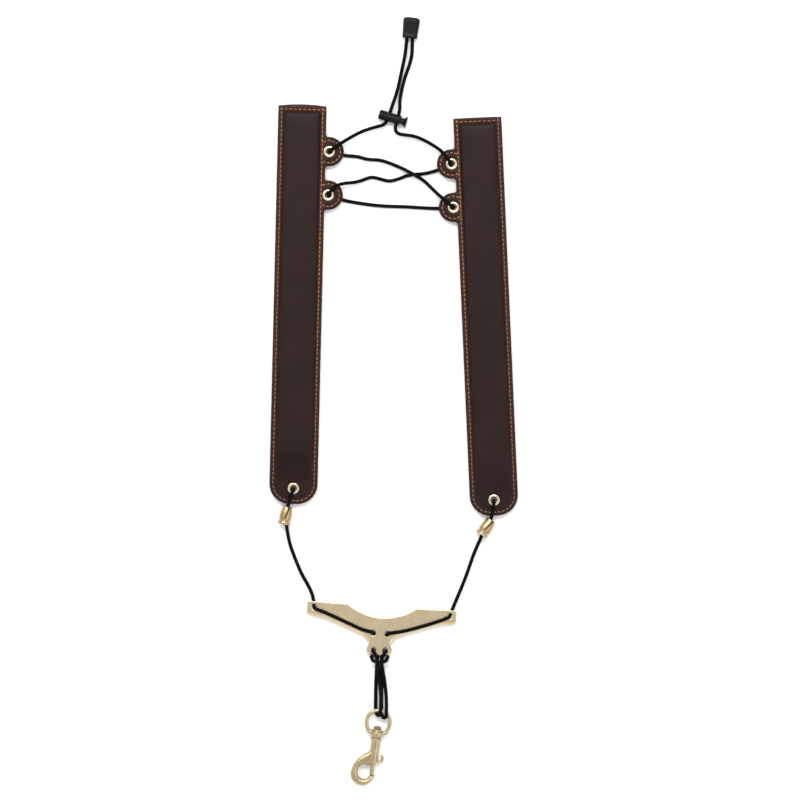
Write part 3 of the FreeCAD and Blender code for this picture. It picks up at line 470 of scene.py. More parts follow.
def arc(cx, cy, radius, start, end, step=1.0):
    """Points along an arc, in degrees, both ends included."""
    count = max(2, round(abs(math.radians(end - start)) * radius / step))
    angles = np.radians(np.linspace(start, end, count + 1))
    return [(cx + radius * math.cos(a), cy + radius * math.sin(a)) for a in angles]


def circle(cx, cy, radius, step):
    return np.array(arc(cx, cy, radius, 0, 360, step)[:-1])


def inside(points, loops):
    """Which points lie inside closed loops, by counting crossings."""
    x, y = points[:, 0][:, None], points[:, 1][:, None]
    crossings = np.zeros(len(points), int)
    for loop in loops:
        x1, y1 = loop[:, 0], loop[:, 1]
        x2, y2 = np.roll(x1, -1), np.roll(y1, -1)
        spans = (y1 > y) != (y2 > y)
        rise = np.where(y2 == y1, 1e-12, y2 - y1)
        crossings += (spans & (x < (x2 - x1) * (y - y1) / rise + x1)).sum(1)
    return crossings % 2 == 1


def edge_distance(points, loops):
    """Distance from each point to the nearest loop."""
    best = np.full(len(points), 1e9)
    for loop in loops:
        a, b = loop, np.roll(loop, -1, axis=0)
        d = b - a
        length = (d ** 2).sum(1) + 1e-12
        for low in range(0, len(points), 4000):
            some = slice(low, low + 4000)
            p = points[some, None, :]
            t = np.clip(((p - a) * d).sum(2) / length, 0, 1)
            near = np.sqrt((((a + t[..., None] * d) - p) ** 2).sum(2)).min(1)
            best[some] = np.minimum(best[some], near)
    return best


def search_tree(points):
    tree = kdtree.KDTree(len(points))
    for k, p in enumerate(points):
        tree.insert((p[0], p[1], 0), k)
    tree.balance()
    return tree


def outward(loop):
    """The direction out of a closed loop at each of its points."""
    ahead = np.roll(loop, -1, axis=0) - np.roll(loop, 1, axis=0)
    normals = np.column_stack([ahead[:, 1], -ahead[:, 0]])
    normals /= np.linalg.norm(normals, axis=1)[:, None]
    return -normals if inside(loop[5:6] + normals[5:6] * 0.1, [loop])[0] else normals


def filled(loops, guides, spacing, gap):
    """Triangles that fill closed loops. Guide points are kept where they are not crowded."""
    edge_points = np.vstack(loops)
    low, high = edge_points.min(0), edge_points.max(0)
    rows = np.arange(low[1], high[1], spacing * 0.866)
    grid = [(x + (spacing / 2 if k % 2 else 0), y)
            for k, y in enumerate(rows) for x in np.arange(low[0], high[0], spacing)]
    tries = [(guide, gap) for guide in guides] + [(np.array(grid), spacing * 0.6)]
    accepted = [tuple(p) for p in edge_points]
    for points, room in tries:
        points = points[inside(points, loops)]
        points = points[edge_distance(points, loops) > gap * 0.8]
        tree = search_tree(accepted)
        accepted += [tuple(p) for p in points if tree.find((p[0], p[1], 0))[2] > room]
    edges, start = [], 0
    for loop in loops:
        count = len(loop)
        edges += [(start + k, start + (k + 1) % count) for k in range(count)]
        start += count
    result = geometry.delaunay_2d_cdt([Vector(p) for p in accepted], edges, [], 0, 1e-5)
    points = np.array([tuple(v) for v in result[0]])
    triangles = np.array(result[2])
    return points, triangles[inside(points[triangles].mean(1), loops)]


def walls(triangles, offset):
    """Quads between the rim of one sheet and the rim of its copy, offset in the point list."""
    count = {}
    for a, b, c in triangles:
        for pair in ((a, b), (b, c), (c, a)):
            count[pair] = count.get(pair, 0) + 1
    rim = [pair for pair in count if (pair[1], pair[0]) not in count]
    return [(b, a, a + offset, b + offset) for a, b in rim]


def slab(name, loops, guides, spacing, gap, top, low, place, materials, crease=40, wall_index=0):
    """A closed solid between a top and a lower surface, both functions of the plane points."""
    points, triangles = filled(loops, guides, spacing, gap)
    a, b, c = points[triangles[0]]
    if np.cross(b - a, c - a) < 0:
        triangles = triangles[:, ::-1]
    used, places = np.unique(triangles, return_inverse=True)
    points, triangles, count = points[used], places.reshape(-1, 3), len(used)
    distance = edge_distance(points, loops)
    above = np.column_stack([points, top(points, distance)])
    below = np.column_stack([points, low(points, distance)])
    faces = [tuple(t) for t in triangles.tolist()]
    sides = walls(faces, count)
    faces += [(c + count, b + count, a + count) for a, b, c in triangles.tolist()]
    marks = [0] * len(faces) + [wall_index] * len(sides)
    made = add_mesh(name, placed(np.vstack([above, below]), place), faces + sides, materials,
                    crease, marks)
    return made, points, distance


# ---- sweeps and lofts


def bands(rows, count):
    """Quads between rows of points, each row a ring of the same count."""
    return [(r * count + k, r * count + (k + 1) % count,
             (r + 1) * count + (k + 1) % count, (r + 1) * count + k)
            for r in range(rows - 1) for k in range(count)]


def caps(rows, count):
    return [tuple(range(count - 1, -1, -1)), tuple(range((rows - 1) * count, rows * count))]


def loft(name, sections, place, material, crease=40):
    """A closed skin over rings of points."""
    rows, count = len(sections), len(sections[0])
    points = [p for section in sections for p in section]
    faces = bands(rows, count) + caps(rows, count)
    return fixed(add_mesh(name, placed(points, place), faces, [material], crease), crease)


def route_line(name):
    """The smooth line of a cord, read from a NURBS spline through its route."""
    curve = bpy.data.curves.new(name + "_route", "CURVE")
    curve.dimensions = "3D"
    spline = curve.splines.new("NURBS")
    spline.points.add(len(ROUTES[name]) - 1)
    for point, spot in zip(spline.points, ROUTES[name]):
        point.co = (*[c * MM for c in spot], 1)
    spline.order_u = 3
    spline.use_endpoint_u = True
    spline.resolution_u = 32
    holder = added(name + "_route", curve)
    line = evaluated(holder)
    points = np.array([tuple(v.co) for v in line.vertices]) / MM
    bpy.data.objects.remove(holder)
    bpy.data.curves.remove(curve)
    bpy.data.meshes.remove(line)
    return points


def evenly(points, step):
    """The same line, with points a step apart."""
    points = np.asarray(points, float)
    lengths = np.concatenate([[0], np.cumsum(np.linalg.norm(np.diff(points, axis=0), axis=1))])
    count = max(2, round(lengths[-1] / step))
    spots = np.linspace(0, lengths[-1], count + 1)
    return np.column_stack([np.interp(spots, lengths, points[:, k]) for k in range(3)]), spots


def carried_frames(points):
    """Two directions across a line at each point, carried along it without twisting."""
    tangents = np.gradient(points, axis=0)
    tangents /= np.linalg.norm(tangents, axis=1)[:, None]
    side = Vector(tangents[0]).orthogonal().normalized()
    sides = []
    for tangent in tangents:
        ahead = Vector(tangent)
        side = (side - ahead * side.dot(ahead)).normalized()
        sides.append(tuple(side))
    sides = np.array(sides)
    return sides, np.cross(tangents, sides)


def sweep(name, line, radius, material, segments=16, step=0.5, relief=None, crease=60):
    """A round tube along a line. radius is a number or a function of the share of the way."""
    points, along = evenly(line, step)
    sides, ups = carried_frames(points)
    angles = 2 * np.pi * np.arange(segments) / segments
    radii = radius(along / along[-1]) if callable(radius) else radius
    radii = np.broadcast_to(radii, len(points))[:, None] * np.ones(segments)
    if relief is not None:
        radii = radii + relief(angles[None, :] / (2 * np.pi), along[:, None])
    ring = (sides[:, None, :] * np.cos(angles)[None, :, None]
            + ups[:, None, :] * np.sin(angles)[None, :, None])
    mesh_points = (points[:, None, :] + ring * radii[..., None]).reshape(-1, 3)
    turns = [(k / segments, (k + 1) / segments) for k in range(segments)]
    coords = [corner for low, high in zip(along, along[1:]) for u, v in turns
              for corner in ((u, low), (v, low), (v, high), (u, high))]
    coords += [(u, 0.0) for u, _ in turns] * 2
    faces = bands(len(points), segments) + caps(len(points), segments)
    made = add_mesh(name, mesh_points, faces, [material], crease)
    layer = made.data.uv_layers.new(name="braid")
    layer.data.foreach_set("uv", np.array(coords, np.float32).ravel())
    return made


BRAID_STRANDS = 8
BRAID_PITCH = 1.2
BRAID_RELIEF = 0.13


def braid_relief(turn, along):
    """Bumps of the strands that cross over each other round the cord."""
    one = BRAID_STRANDS * turn + along / BRAID_PITCH
    other = BRAID_STRANDS * turn - along / BRAID_PITCH
    height = np.abs(np.cos(np.pi * one) * np.cos(np.pi * other)) ** 0.6
    return BRAID_RELIEF * (height - 0.75)


# ---- cords

BRAID_STEP = BRAID_PITCH / 3
# How each cord lies, the bodies that carry it and, with two, where one hands over to the other.
CORDS = {
    "left_tail_cord": ("loose", ("pads", "lock"), (11.5, 300, 5), (-1.5, 246, 5)),
    "right_tail_cord": ("loose", ("pads", "lock"), (14.5, 300, 5), (4.0, 246, 5)),
    "lacing_cord": ("loose", ("pads", "lock"), (-7, 208.5, 5), (-2, 231, 5)),
    "left_loop_cord": ("taut", ("pads",)),
    "right_loop_cord": ("taut", ("pads",)),
    "left_drop_cord": ("loose", ("pads", "plate"), (-88.5, -104, 5), (-88.5, -166, 5)),
    "right_drop_cord": ("loose", ("pads", "plate"), (72, -113, 5), (72, -174.5, 5)),
    "suspension_cord": ("hanging", ("plate", "cord_bight"), (-12, -216, 5), (-12, -250, 5)),
}


def make_cord(name):
    lay, bodies, *ends = CORDS[name]
    line = route_line(name)
    piece = sweep(name + "_braid", line, CORD_RADIUS, BRAID, BRAID_STRANDS * 3, BRAID_STEP,
                  braid_relief)
    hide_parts(name)
    if ends:
        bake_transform(piece)
    else:
        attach(piece, *bodies)


for cord_name in ROUTES:
    make_cord(cord_name)

# ---- shoulder pads


def strip_outline(inset, step=1.0):
    """The pad's outline drawn in by an inset, from its upper right corner round its tip."""
    half, radius = PAD_HALF_WIDTH - inset, TIP_RADIUS - inset
    x, y = half - radius, radius + inset - PAD_LENGTH
    return [(half, -inset), *arc(x, y, radius, 0, -90, step),
            *arc(-x, y, radius, -90, -180, step), (-half, -inset)]


def strip_depth(points):
    """How far each point is inside the pad's outline. It is negative outside."""
    x = np.abs(points[:, 0])
    low = points[:, 1] + PAD_LENGTH
    plain = np.minimum.reduce([PAD_HALF_WIDTH - x, -points[:, 1], low])
    cx, cy = PAD_HALF_WIDTH - TIP_RADIUS, TIP_RADIUS
    return np.where((x > cx) & (low < cy), TIP_RADIUS - np.hypot(x - cx, low - cy), plain)


def pad_outline(crest, step=1.0):
    """The outline of the strip with its two lacing tabs, whose roots are rounded."""
    root = 2.2
    corners = [(PAD_HALF_WIDTH, 0)]
    reach = math.sqrt((TAB_RADIUS + root) ** 2 - (TAB_REACH - PAD_HALF_WIDTH - root) ** 2)
    lean = 180 - math.degrees(math.asin(reach / (TAB_RADIUS + root)))
    for drop in TAB_DROPS:
        corners += arc(PAD_HALF_WIDTH + root, -drop + reach, root, 180, 360 - lean, 0.4)
        corners += arc(TAB_REACH, -drop, TAB_RADIUS, 180 - lean, lean - 180, step)
        corners += arc(PAD_HALF_WIDTH + root, -drop - reach, root, lean, 180, 0.4)
    corners += strip_outline(0, step)[1:]
    corners.append((-PAD_HALF_WIDTH, 0))
    corners += [(x, crest * (1 - (x / PAD_HALF_WIDTH) ** 2)) for x in range(-19, 20)]
    kept = [corners[0]]
    for corner in corners[1:]:
        if math.dist(corner, kept[-1]) > 0.15:
            kept.append(corner)
    return closed_polyline(kept, step)


def bell_curve(value, width):
    return np.exp(-(value / width) ** 2)


def eased(share):
    share = np.clip(share, 0, 1)
    return share * share * (3 - 2 * share)


def padding(points):
    """How far each point is inside the padding, and the share of its height left there."""
    full, none = PADDING_FOOT
    return strip_depth(points) - CREASE_INSET, eased((points[:, 1] + none) / (none - full))


def round_rise(depth, reach):
    """0 at the outline, rising like a quarter of an ellipse to 1."""
    t = np.clip(depth / reach, 0, 1)
    return np.sqrt(np.clip(1 - (1 - t) ** 2, 0, 1))


def slow_noise(points, scale, seed):
    return np.array([noise.noise((x * scale, y * scale, seed)) for x, y in points])


def tab_groove(points):
    """The stitch groove round each tab."""
    total = np.zeros(len(points))
    for drop in TAB_DROPS:
        far = np.hypot(points[:, 0] - TAB_REACH, points[:, 1] + drop)
        total += bell_curve(far - TAB_STITCH_RADIUS, 0.5) * (points[:, 0] > 17.3)
    return total


def pad_relief(points, distance, seed):
    """How far the leather's face rises above its border, apart from the padding's crown."""
    depth = strip_depth(points)
    groove = np.maximum(bell_curve(depth - STITCH_INSET, 0.5), tab_groove(points))
    fall = 0.5 * (1 - round_rise(distance, 0.8))
    pad_depth, share = padding(points)
    crease = (0.06 + 0.26 * share) * bell_curve(pad_depth + 0.1, 0.8)
    pressed = np.zeros(len(points))
    for x, y in EYELETS.values():
        far = np.hypot(points[:, 0] - x, points[:, 1] - y)
        pressed += 0.108 * bell_curve(np.maximum(far - 4.9, 0), 1.0)
    ripple = 0.08 * slow_noise(points, 0.07, seed) * np.clip(distance / 4, 0, 1)
    creases = 0.03 * slow_noise(points, 0.35, seed + 5)
    return -0.26 * groove - fall - crease - pressed + ripple + creases


def crown(points, height, seed):
    """The padding's crown: steep at its border, then nearly flat."""
    depth, share = padding(points)
    rise = 0.62 * round_rise(depth, 3.0) + 0.38 * round_rise(depth, 15.5)
    dents = 1 + 0.04 * slow_noise(points, 0.045, seed + 9)
    return height * rise * dents * share


def pad_guides():
    """Points along the grooves and the crease, where the faces need detail."""
    insets = [STITCH_INSET, 2.4, 3.4, 1.5, 4.3, 0.8]
    insets += [CREASE_INSET + more for more in (0.0, -0.5, 0.4, 0.9, 1.5, 2.2, 3.0, 4.2, 5.8)]
    tab_radii = (TAB_STITCH_RADIUS, 8.7, 9.9, 11.4, 7.0, 5.3, 4.2)
    rings = [(TAB_REACH, drop, radius) for drop in TAB_DROPS for radius in tab_radii]
    rings += [(0, TIP_EYELET_DROP, radius) for radius in (4.2, 5.3, 6.8)]
    return ([closed_polyline(strip_outline(inset), 1.0) for inset in insets]
            + [np.array(arc(x, -drop, radius, 0, 359, 0.9)) for x, drop, radius in rings])


def border_tone(piece, points, distance):
    """Marks how near each point is to the pad's worn, redder border."""
    depth, share = padding(points)
    tone = eased(0.5 - depth / 1.8) * (0.35 + 0.65 * share)
    tone = tone * (0.55 + 0.45 * eased((strip_depth(points) - 1.9) / 1.2))
    on_tab = eased((points[:, 0] - PAD_HALF_WIDTH + 1.5) / 2)
    tone = tone * (1 - 0.75 * on_tab)
    tone = np.maximum(tone, 0.8 * eased(1 - distance / 1.1))
    mark(piece, "border", np.concatenate([tone, tone]))


def pad_place(side):
    (x, y), degrees, flip = PADS[side]
    place = turned_about_z((x, y, 0), degrees)
    place[:3, 0] *= flip
    return place


def leather_piece(side, face):
    seed = {"left": 1.0, "right": 31.0}[side] + {"front": 0, "back": 60}[face]
    loops = [pad_outline(TOP_CREST[side])]
    loops += [circle(x, y, EYELET_HOLE, 0.6) for x, y in EYELETS.values()]
    middle = SEAM_Z + (0.03 if face == "front" else -0.03)

    def flat(points, distance):
        return np.full(len(points), middle)

    def front(points, distance):
        lift = crown(points, 2.8, seed) + pad_relief(points, distance, seed)
        return np.maximum(BORDER_TOP + lift, SEAM_Z + 0.5)

    def back(points, distance):
        lift = crown(points, 4.1, seed) + pad_relief(points, distance, seed) * 0.7
        return np.clip(BORDER_LOW - lift, 0.0, SEAM_Z - 0.5)

    top, low = (front, flat) if face == "front" else (flat, back)
    name = "%s_%s_leather" % (side, face)
    made, points, distance = slab(name + "_skin", loops, pad_guides(), 2.2, 0.33, top, low,
                                  pad_place(side), [LEATHER, CUT_EDGE], 50, 1)
    border_tone(made, points, distance)
    if PADS[side][2] < 0:
        made.data.flip_normals()
    foam = [side + "_foam_core"] if face == "front" else []
    declared(made, "pad_leather", "pads", name, *foam)


# ---- stitches

STITCH_PITCH = 3.7
STITCH_LENGTH = 2.75
STITCH_WIDTH = 0.38
# Along a stitch: the share of its length, of its width, and the height of its middle.
STITCH_ROWS = ((-0.5, 0.45, -0.34), (-0.36, 0.85, -0.02), (-0.15, 1, 0.12),
               (0.15, 1, 0.12), (0.36, 0.85, -0.02), (0.5, 0.45, -0.34))


def stitch_runs():
    """The seam's lines: round the strip, across its top, and round the tabs."""
    around = strip_outline(STITCH_INSET, 0.8)
    around[0], around[-1] = (around[0][0], -1.1), (around[-1][0], -1.1)
    across = [(PAD_HALF_WIDTH - 1.2, -STITCH_INSET), (1.2 - PAD_HALF_WIDTH, -STITCH_INSET)]
    runs = [around, across]
    lean = math.degrees(math.acos((17.9 - TAB_REACH) / TAB_STITCH_RADIUS))
    for drop in TAB_DROPS:
        runs.append(arc(TAB_REACH, -drop, TAB_STITCH_RADIUS, lean, -lean, 0.6))
    return runs


def rubbed(x, y):
    """How dull the thread is: most at the tip and on the outer side."""
    outer = min(max(0.35 - x / 40, 0), 0.8)
    low = min(max((-y - 120) / 170, 0), 1)
    return max(outer, 0.95 * low) if abs(x) < 18 else outer * 0.4


def stitches(side, up, level, points, faces, worn):
    """Adds the points, faces and wear of every stitch on one face of a pad."""
    ring = [(math.cos(a), math.sin(a)) for a in np.arange(6) * math.pi / 3]
    rng = np.random.default_rng({"left": 3, "right": 8}[side] + up)
    for run in stitch_runs():
        line, along = evenly([(x, y, 0) for x, y in run], 0.1)

        def at(spot):
            return np.array([np.interp(spot, along, line[:, k]) for k in range(2)])

        total = along[-1]
        count = round((total - STITCH_LENGTH) / STITCH_PITCH)
        for index in range(count + 1):
            middle = STITCH_LENGTH / 2 + index * (total - STITCH_LENGTH) / count
            lean = rng.uniform(-0.14, 0.14)
            sway = rng.uniform(-0.08, 0.08)
            start = len(points)
            for share, width, lift in STITCH_ROWS:
                spot = middle + share * STITCH_LENGTH
                place = at(spot)
                ahead = at(spot + 0.2) - at(spot - 0.2)
                ahead /= np.linalg.norm(ahead) + 1e-9
                across = np.array([-ahead[1], ahead[0]])
                centre = place + across * (share * lean * STITCH_LENGTH + sway)
                worn += [rubbed(*place)] * 6
                for c, s in ring:
                    flat = centre + across * c * STITCH_WIDTH * width
                    points.append((*flat, level + up * (lift + s * 0.36 * width)))
            faces += [tuple(start + k for k in face) for face in bands(6, 6) + caps(6, 6)]


def seam(side):
    points, faces, worn = [], [], []
    stitches(side, 1, BORDER_TOP - 0.12, points, faces, worn)
    stitches(side, -1, BORDER_LOW + 0.12, points, faces, worn)
    made = add_mesh(side + "_seam_stitches", placed(points, pad_place(side)), faces, [THREAD], 70)
    mark(made, "worn", worn)
    fixed(made, 70)
    declared(made, "seam_thread", "pads", side + "_seam_thread")


# ---- eyelets and bells

EYELET_PROFILE = [
    (2.4, 3.7), (2.48, 3.42), (2.68, 3.25), (3.0, 3.2), (3.35, 3.24), (3.5, 3.36), (3.45, 3.4),
    (2.8, 3.42), (2.8, 6.3), (4.7, 6.3), (4.75, 6.42), (4.68, 6.62), (4.45, 6.82), (4.1, 6.95),
    (3.7, 7.0), (3.3, 6.98), (2.95, 6.88), (2.65, 6.68), (2.47, 6.4), (2.4, 6.05),
]


def eyelet(side, name, x, y):
    spot = placed([(x, y, 0)], pad_place(side))[0]
    made = lathe("%s_%s_ring" % (side, name), EYELET_PROFILE, turned_about_z(spot, 0),
                 EYELET_METAL, 40, 50)
    declared(made, "eyelet_metal", "pads", "%s_%s" % (side, name))


BELL_OUTLINE = [
    (3.75, 0.0), (3.95, 0.2), (4.1, 1.2), (4.5, 3.2), (4.85, 5.5), (5.05, 8.0), (5.05, 9.8),
    (4.9, 11.0), (4.5, 11.55), (4.45, 11.95), (4.62, 12.35), (5.0, 12.9), (5.25, 13.7),
    (5.32, 14.5), (5.15, 15.0),
]
BELL_WALL = 0.3


def bell(side):
    inner = [(r - BELL_WALL, z) for r, z in reversed(BELL_OUTLINE)]
    place = lying(BELLS[side])
    made = lathe(side + "_bell", BELL_OUTLINE + inner, place, BELL_METAL, 56, 35)
    sides = ((0.85, -1), (2.35, -1), (1.0, 9.4), (0.65, 9.4))
    cutter = loft("slit", [[(x, y, z) for x, z in sides] for y in (1.5, 7)], place, BELL_METAL)
    carved(made, [cutter], 35)
    declared(made, "bell_metal", "pads", side + "_cord_bell")


def bell_knot(side):
    """A trefoil: an overhand knot drawn tight inside the bell."""
    place = lying(BELLS[side])
    turns = np.linspace(0, 2 * np.pi, 160)
    knot = np.column_stack([
        np.sin(turns) + 1.35 * np.sin(2 * turns),
        np.cos(turns) - 1.35 * np.cos(2 * turns),
        10.3 - 1.15 * np.sin(3 * turns),
    ])
    made = sweep(side + "_bell_knot", placed(knot, place), 1.15, BRAID, BRAID_STRANDS * 3,
                 BRAID_STEP, braid_relief)
    declared(made, "black_cord", "pads", side + "_cord_knot")


for pad_side in PADS:
    leather_piece(pad_side, "front")
    leather_piece(pad_side, "back")
    seam(pad_side)
    for eyelet_name, (across, along) in EYELETS.items():
        eyelet(pad_side, eyelet_name, across, along)
    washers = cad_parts[pad_side + "_eyelet_washers"]
    washers.data.materials.clear()
    washers.data.materials.append(EYELET_METAL)
    bell(pad_side)
    bell_knot(pad_side)


def coil(node_name, body, axis):
    """A spring of the CAD model as a piece of its own."""
    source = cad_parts[node_name]
    piece = added(node_name + "_coil", source.data.copy())
    piece.data.transform(source.matrix_world)
    piece.data.materials.clear()
    piece.data.materials.append(STEEL)
    declared(piece, "spring_steel", body, node_name)
    axis = np.array(axis)
    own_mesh(piece)


coil("lock_spring", "lock", (-0.9537, 0.3007, 0))
coil("bolt_spring", "hook", (0.124, 0.9923, 0))

# ---- cord lock


def drill(place, radius, low, high, segments=36):
    """A cylinder along a place's Z axis, to cut with."""
    profile = [(0, low), (radius, low), (radius, high), (0, high)]
    return lathe("drill", profile, place, PLASTIC, segments)


def block(place, low, high):
    """A box between two corners of a place, to cut with."""
    (x1, y1, z1), (x2, y2, z2) = low, high
    rings = [[(x1, y1, z), (x2, y1, z), (x2, y2, z), (x1, y2, z)] for z in (z1, z2)]
    return loft("block", rings, place, PLASTIC)


def cord_lock():
    place = lying(LOCK)
    barrel = lathe("lock_barrel_moulding", [
        (0, 0.0), (2.9, 0.0), (3.5, 0.12), (3.9, 0.5), (4.03, 1.0), (4.05, 1.6), (4.05, 4.4),
        (3.97, 4.55), (3.97, 4.75), (4.05, 4.9), (4.05, 17.4), (4.0, 18.2), (3.75, 18.7),
        (3.4, 18.8), (2.86, 18.8), (2.86, 1.6), (0, 1.6),
    ], place, PLASTIC, 56, 35)
    holes = [drill(place @ axes((0, 0, along), (0, 1, 0), (0, 0, 1), (1, 0, 0)), 1.8, -8, 8, 32)
             for along in (8.3, 15.8)]
    carved(barrel, holes, 35)
    declared(barrel, "black_plastic", "lock", "lock_barrel")
    plunger = lathe("lock_button_moulding", [
        (0, 5.4), (2.5, 5.4), (2.8, 5.7), (2.8, 20.6), (2.9, 21.4), (3.2, 21.95), (3.85, 22.35),
        (4.55, 22.7), (4.75, 22.95), (4.75, 23.35), (4.55, 23.75), (4.0, 23.98), (2.4, 24.0),
        (2.0, 23.85), (0, 23.8),
    ], place, PLASTIC, 56, 35)
    slots = [block(place, (-8, -1.65, low), (8, 1.65, high))
             for low, high in ((6.65, 12.35), (14.15, 19.85))]
    carved(plunger, slots, 35)
    declared(plunger, "black_plastic", "lock_button", "lock_plunger")


def rounded_sections(rows, count=40):
    """Rounded rectangles across Y, from rows of half width, half depth, Y and squareness."""
    turns = [2 * math.pi * (k + 0.5) / count for k in range(count)]

    def bulged(value, square):
        return math.copysign(abs(value) ** (2 / square), value)

    return [[(wide * bulged(math.cos(a), square), y, deep * bulged(math.sin(a), square))
             for a in turns] for wide, deep, y, square in rows]


def cord_end():
    place = lying_on_y(CORD_END)
    shell = loft("cord_end_moulding", rounded_sections([
        (5.6, 3.0, 0.05, 5), (6.1, 3.35, 0.2, 5), (6.35, 3.55, 0.7, 5), (6.3, 3.5, 1.7, 5),
        (6.22, 3.42, 2.6, 5), (6.35, 3.5, 5.0, 5), (6.6, 3.7, 9.0, 5), (6.85, 3.88, 13.0, 5),
        (6.92, 3.94, 14.6, 5), (6.82, 3.9, 15.4, 4.8), (6.65, 3.78, 15.56, 4.8),
    ]), place, PLASTIC, 35)
    mouth = loft("mouth", rounded_sections([(4.6, 2.2, -1, 5), (4.5, 2.1, 1.1, 5)]), place,
                 PLASTIC)
    carved(shell, [mouth], 35)
    strands = [drill(place @ axes((x, 0, 0), (1, 0, 0), (0, 0, -1), (0, 1, 0)), 1.62, -2, 5, 48)
               for x in (-2.2, 2.2)]
    carved(shell, strands, 35)
    declared(shell, "black_plastic", "pads", "cord_end_shell", "cord_end_knot")
    lid = loft("cord_end_cap", rounded_sections([
        (6.5, 3.65, 15.6, 4.8), (6.72, 3.84, 15.68, 4.6), (6.55, 3.8, 16.0, 4.4),
        (6.2, 3.65, 16.4, 4.2), (5.6, 3.35, 16.75, 4), (4.8, 2.8, 17.0, 3.6),
        (3.6, 2.0, 17.14, 3.2), (1.4, 0.8, 17.2, 2.6),
    ]), place, PLASTIC, 60)
    declared(lid, "black_plastic", "pads", "cord_end_lid")


cord_lock()
cord_end()

# ---- height plate

PLATE_HALF = [
    (28.7, 5.2), (61.2, 5.7), (62.1, 4.9), (62.0, -4.7), (61.2, -5.7), (47.0, -7.8),
    (15.5, -19.0), (10.6, -22.3), (9.0, -25.2), (9.4, -27.6), (10.45, -29.4), (10.7, -31.6),
    (10.1, -33.7), (8.6, -35.3), (6.6, -36.1), (4.0, -36.2), (1.5, -35.9),
]


def plate_outline():
    corners = PLATE_HALF + [(-x, y) for x, y in reversed(PLATE_HALF)]
    dip = 47.7
    half_angle = math.degrees(math.asin(28.7 / dip))
    centre = 5.2 + math.sqrt(dip ** 2 - 28.7 ** 2)
    corners = corners[:-1] + arc(0, centre, dip, 270 - half_angle, 270 + half_angle, 1.0)[:-1]
    return closed_polyline(corners, 0.9)


def edge_round(distance, radius):
    return radius * (1 - round_rise(distance, radius))


def height_plate():
    outline = plate_outline()
    holes = [circle(s * x, y, 2.7, 0.45) for x, y in ((56.4, 1.0), (6.15, -17.1), (5.35, -31.0))
             for s in (-1, 1)]
    loops = [outline] + holes
    normals = outward(outline)
    guides = [outline - normals * inset for inset in (0.12, 0.28, 0.45, 0.75, 1.1, 1.4)]
    for hole in holes:
        middle = hole.mean(0)
        guides += [middle + (hole - middle) * (1 + inset / 2.7) for inset in (0.12, 0.28, 0.45)]

    def front(points, distance):
        """Bevelled near the edges that face down the plate."""
        tree = search_tree(outline)
        near = np.array([tree.find((p[0], p[1], 0))[1] for p in points])
        lower_side = np.clip((-normals[near, 1] - 0.2) / 0.5, 0, 1)
        outer = edge_distance(points, [outline])
        bevel = 0.6 * np.clip(1 - outer / 1.5, 0, 1) * lower_side
        return 0.9 - edge_round(distance, 0.3) - bevel

    def back(points, distance):
        return -0.9 + edge_round(distance, 0.4)

    made, _, _ = slab("height_plate_casting", loops, guides, 2.4, 0.1, front, back,
                      turned_about_z(*PLATE), [PLATE_METAL], 28)
    declared(made, "plate_metal", "plate", "height_plate")


height_plate()

# ---- snap hook

HOOK_OUTLINE = [
    (0.0, 8.2), (-3.3, 8.8), (-4.0, 11.0), (-5.9, 12.9), (-8.8, 14.6), (-11.5, 16.9),
    (-13.8, 19.7), (-15.6, 22.8), (-17.0, 26.3), (-17.7, 30.0), (-17.4, 33.4), (-16.1, 36.2),
    (-14.0, 38.4), (-11.4, 39.9), (-8.6, 40.6), (-5.7, 40.4), (-3.0, 39.3), (-0.7, 37.3),
    (1.1, 35.0), (2.1, 33.1), (2.5, 31.6), (2.4, 30.9), (-1.6, 30.9),
]
THROAT_CENTRE = (-6.75, 28.9)
THROAT_SIZE = (5.35, 6.0)


def hook_loop():
    """The outline of the hook's arm, its throat open towards the bolt."""
    (cx, cy), (wide, tall) = THROAT_CENTRE, THROAT_SIZE
    throat = [(cx + wide * x, cy + tall * y) for x, y in arc(0, 0, 1, 21, 292, 0.08)]
    return closed_polyline(HOOK_OUTLINE + throat + [(-2.8, 22.6), (0.0, 22.2)], 0.5)


def hook_arm(place):
    loop = hook_loop()
    normals = outward(loop)
    guides = [loop - normals * inset for inset in (0.12, 0.3, 0.6, 1.0, 1.5, 2.1, 2.7)]
    flat = axes((0, 0, 0), (1, 0, 0), (0, 0, 1), (0, 1, 0))

    def front(points, distance):
        return 2.7 * round_rise(distance, 2.7) + 0.02

    def back(points, distance):
        return -front(points, distance)

    made, _, _ = slab("hook_casting", [loop], guides, 0.9, 0.2, front, back, place @ flat,
                      [HOOK_METAL], 60)
    return fixed(made, 60)


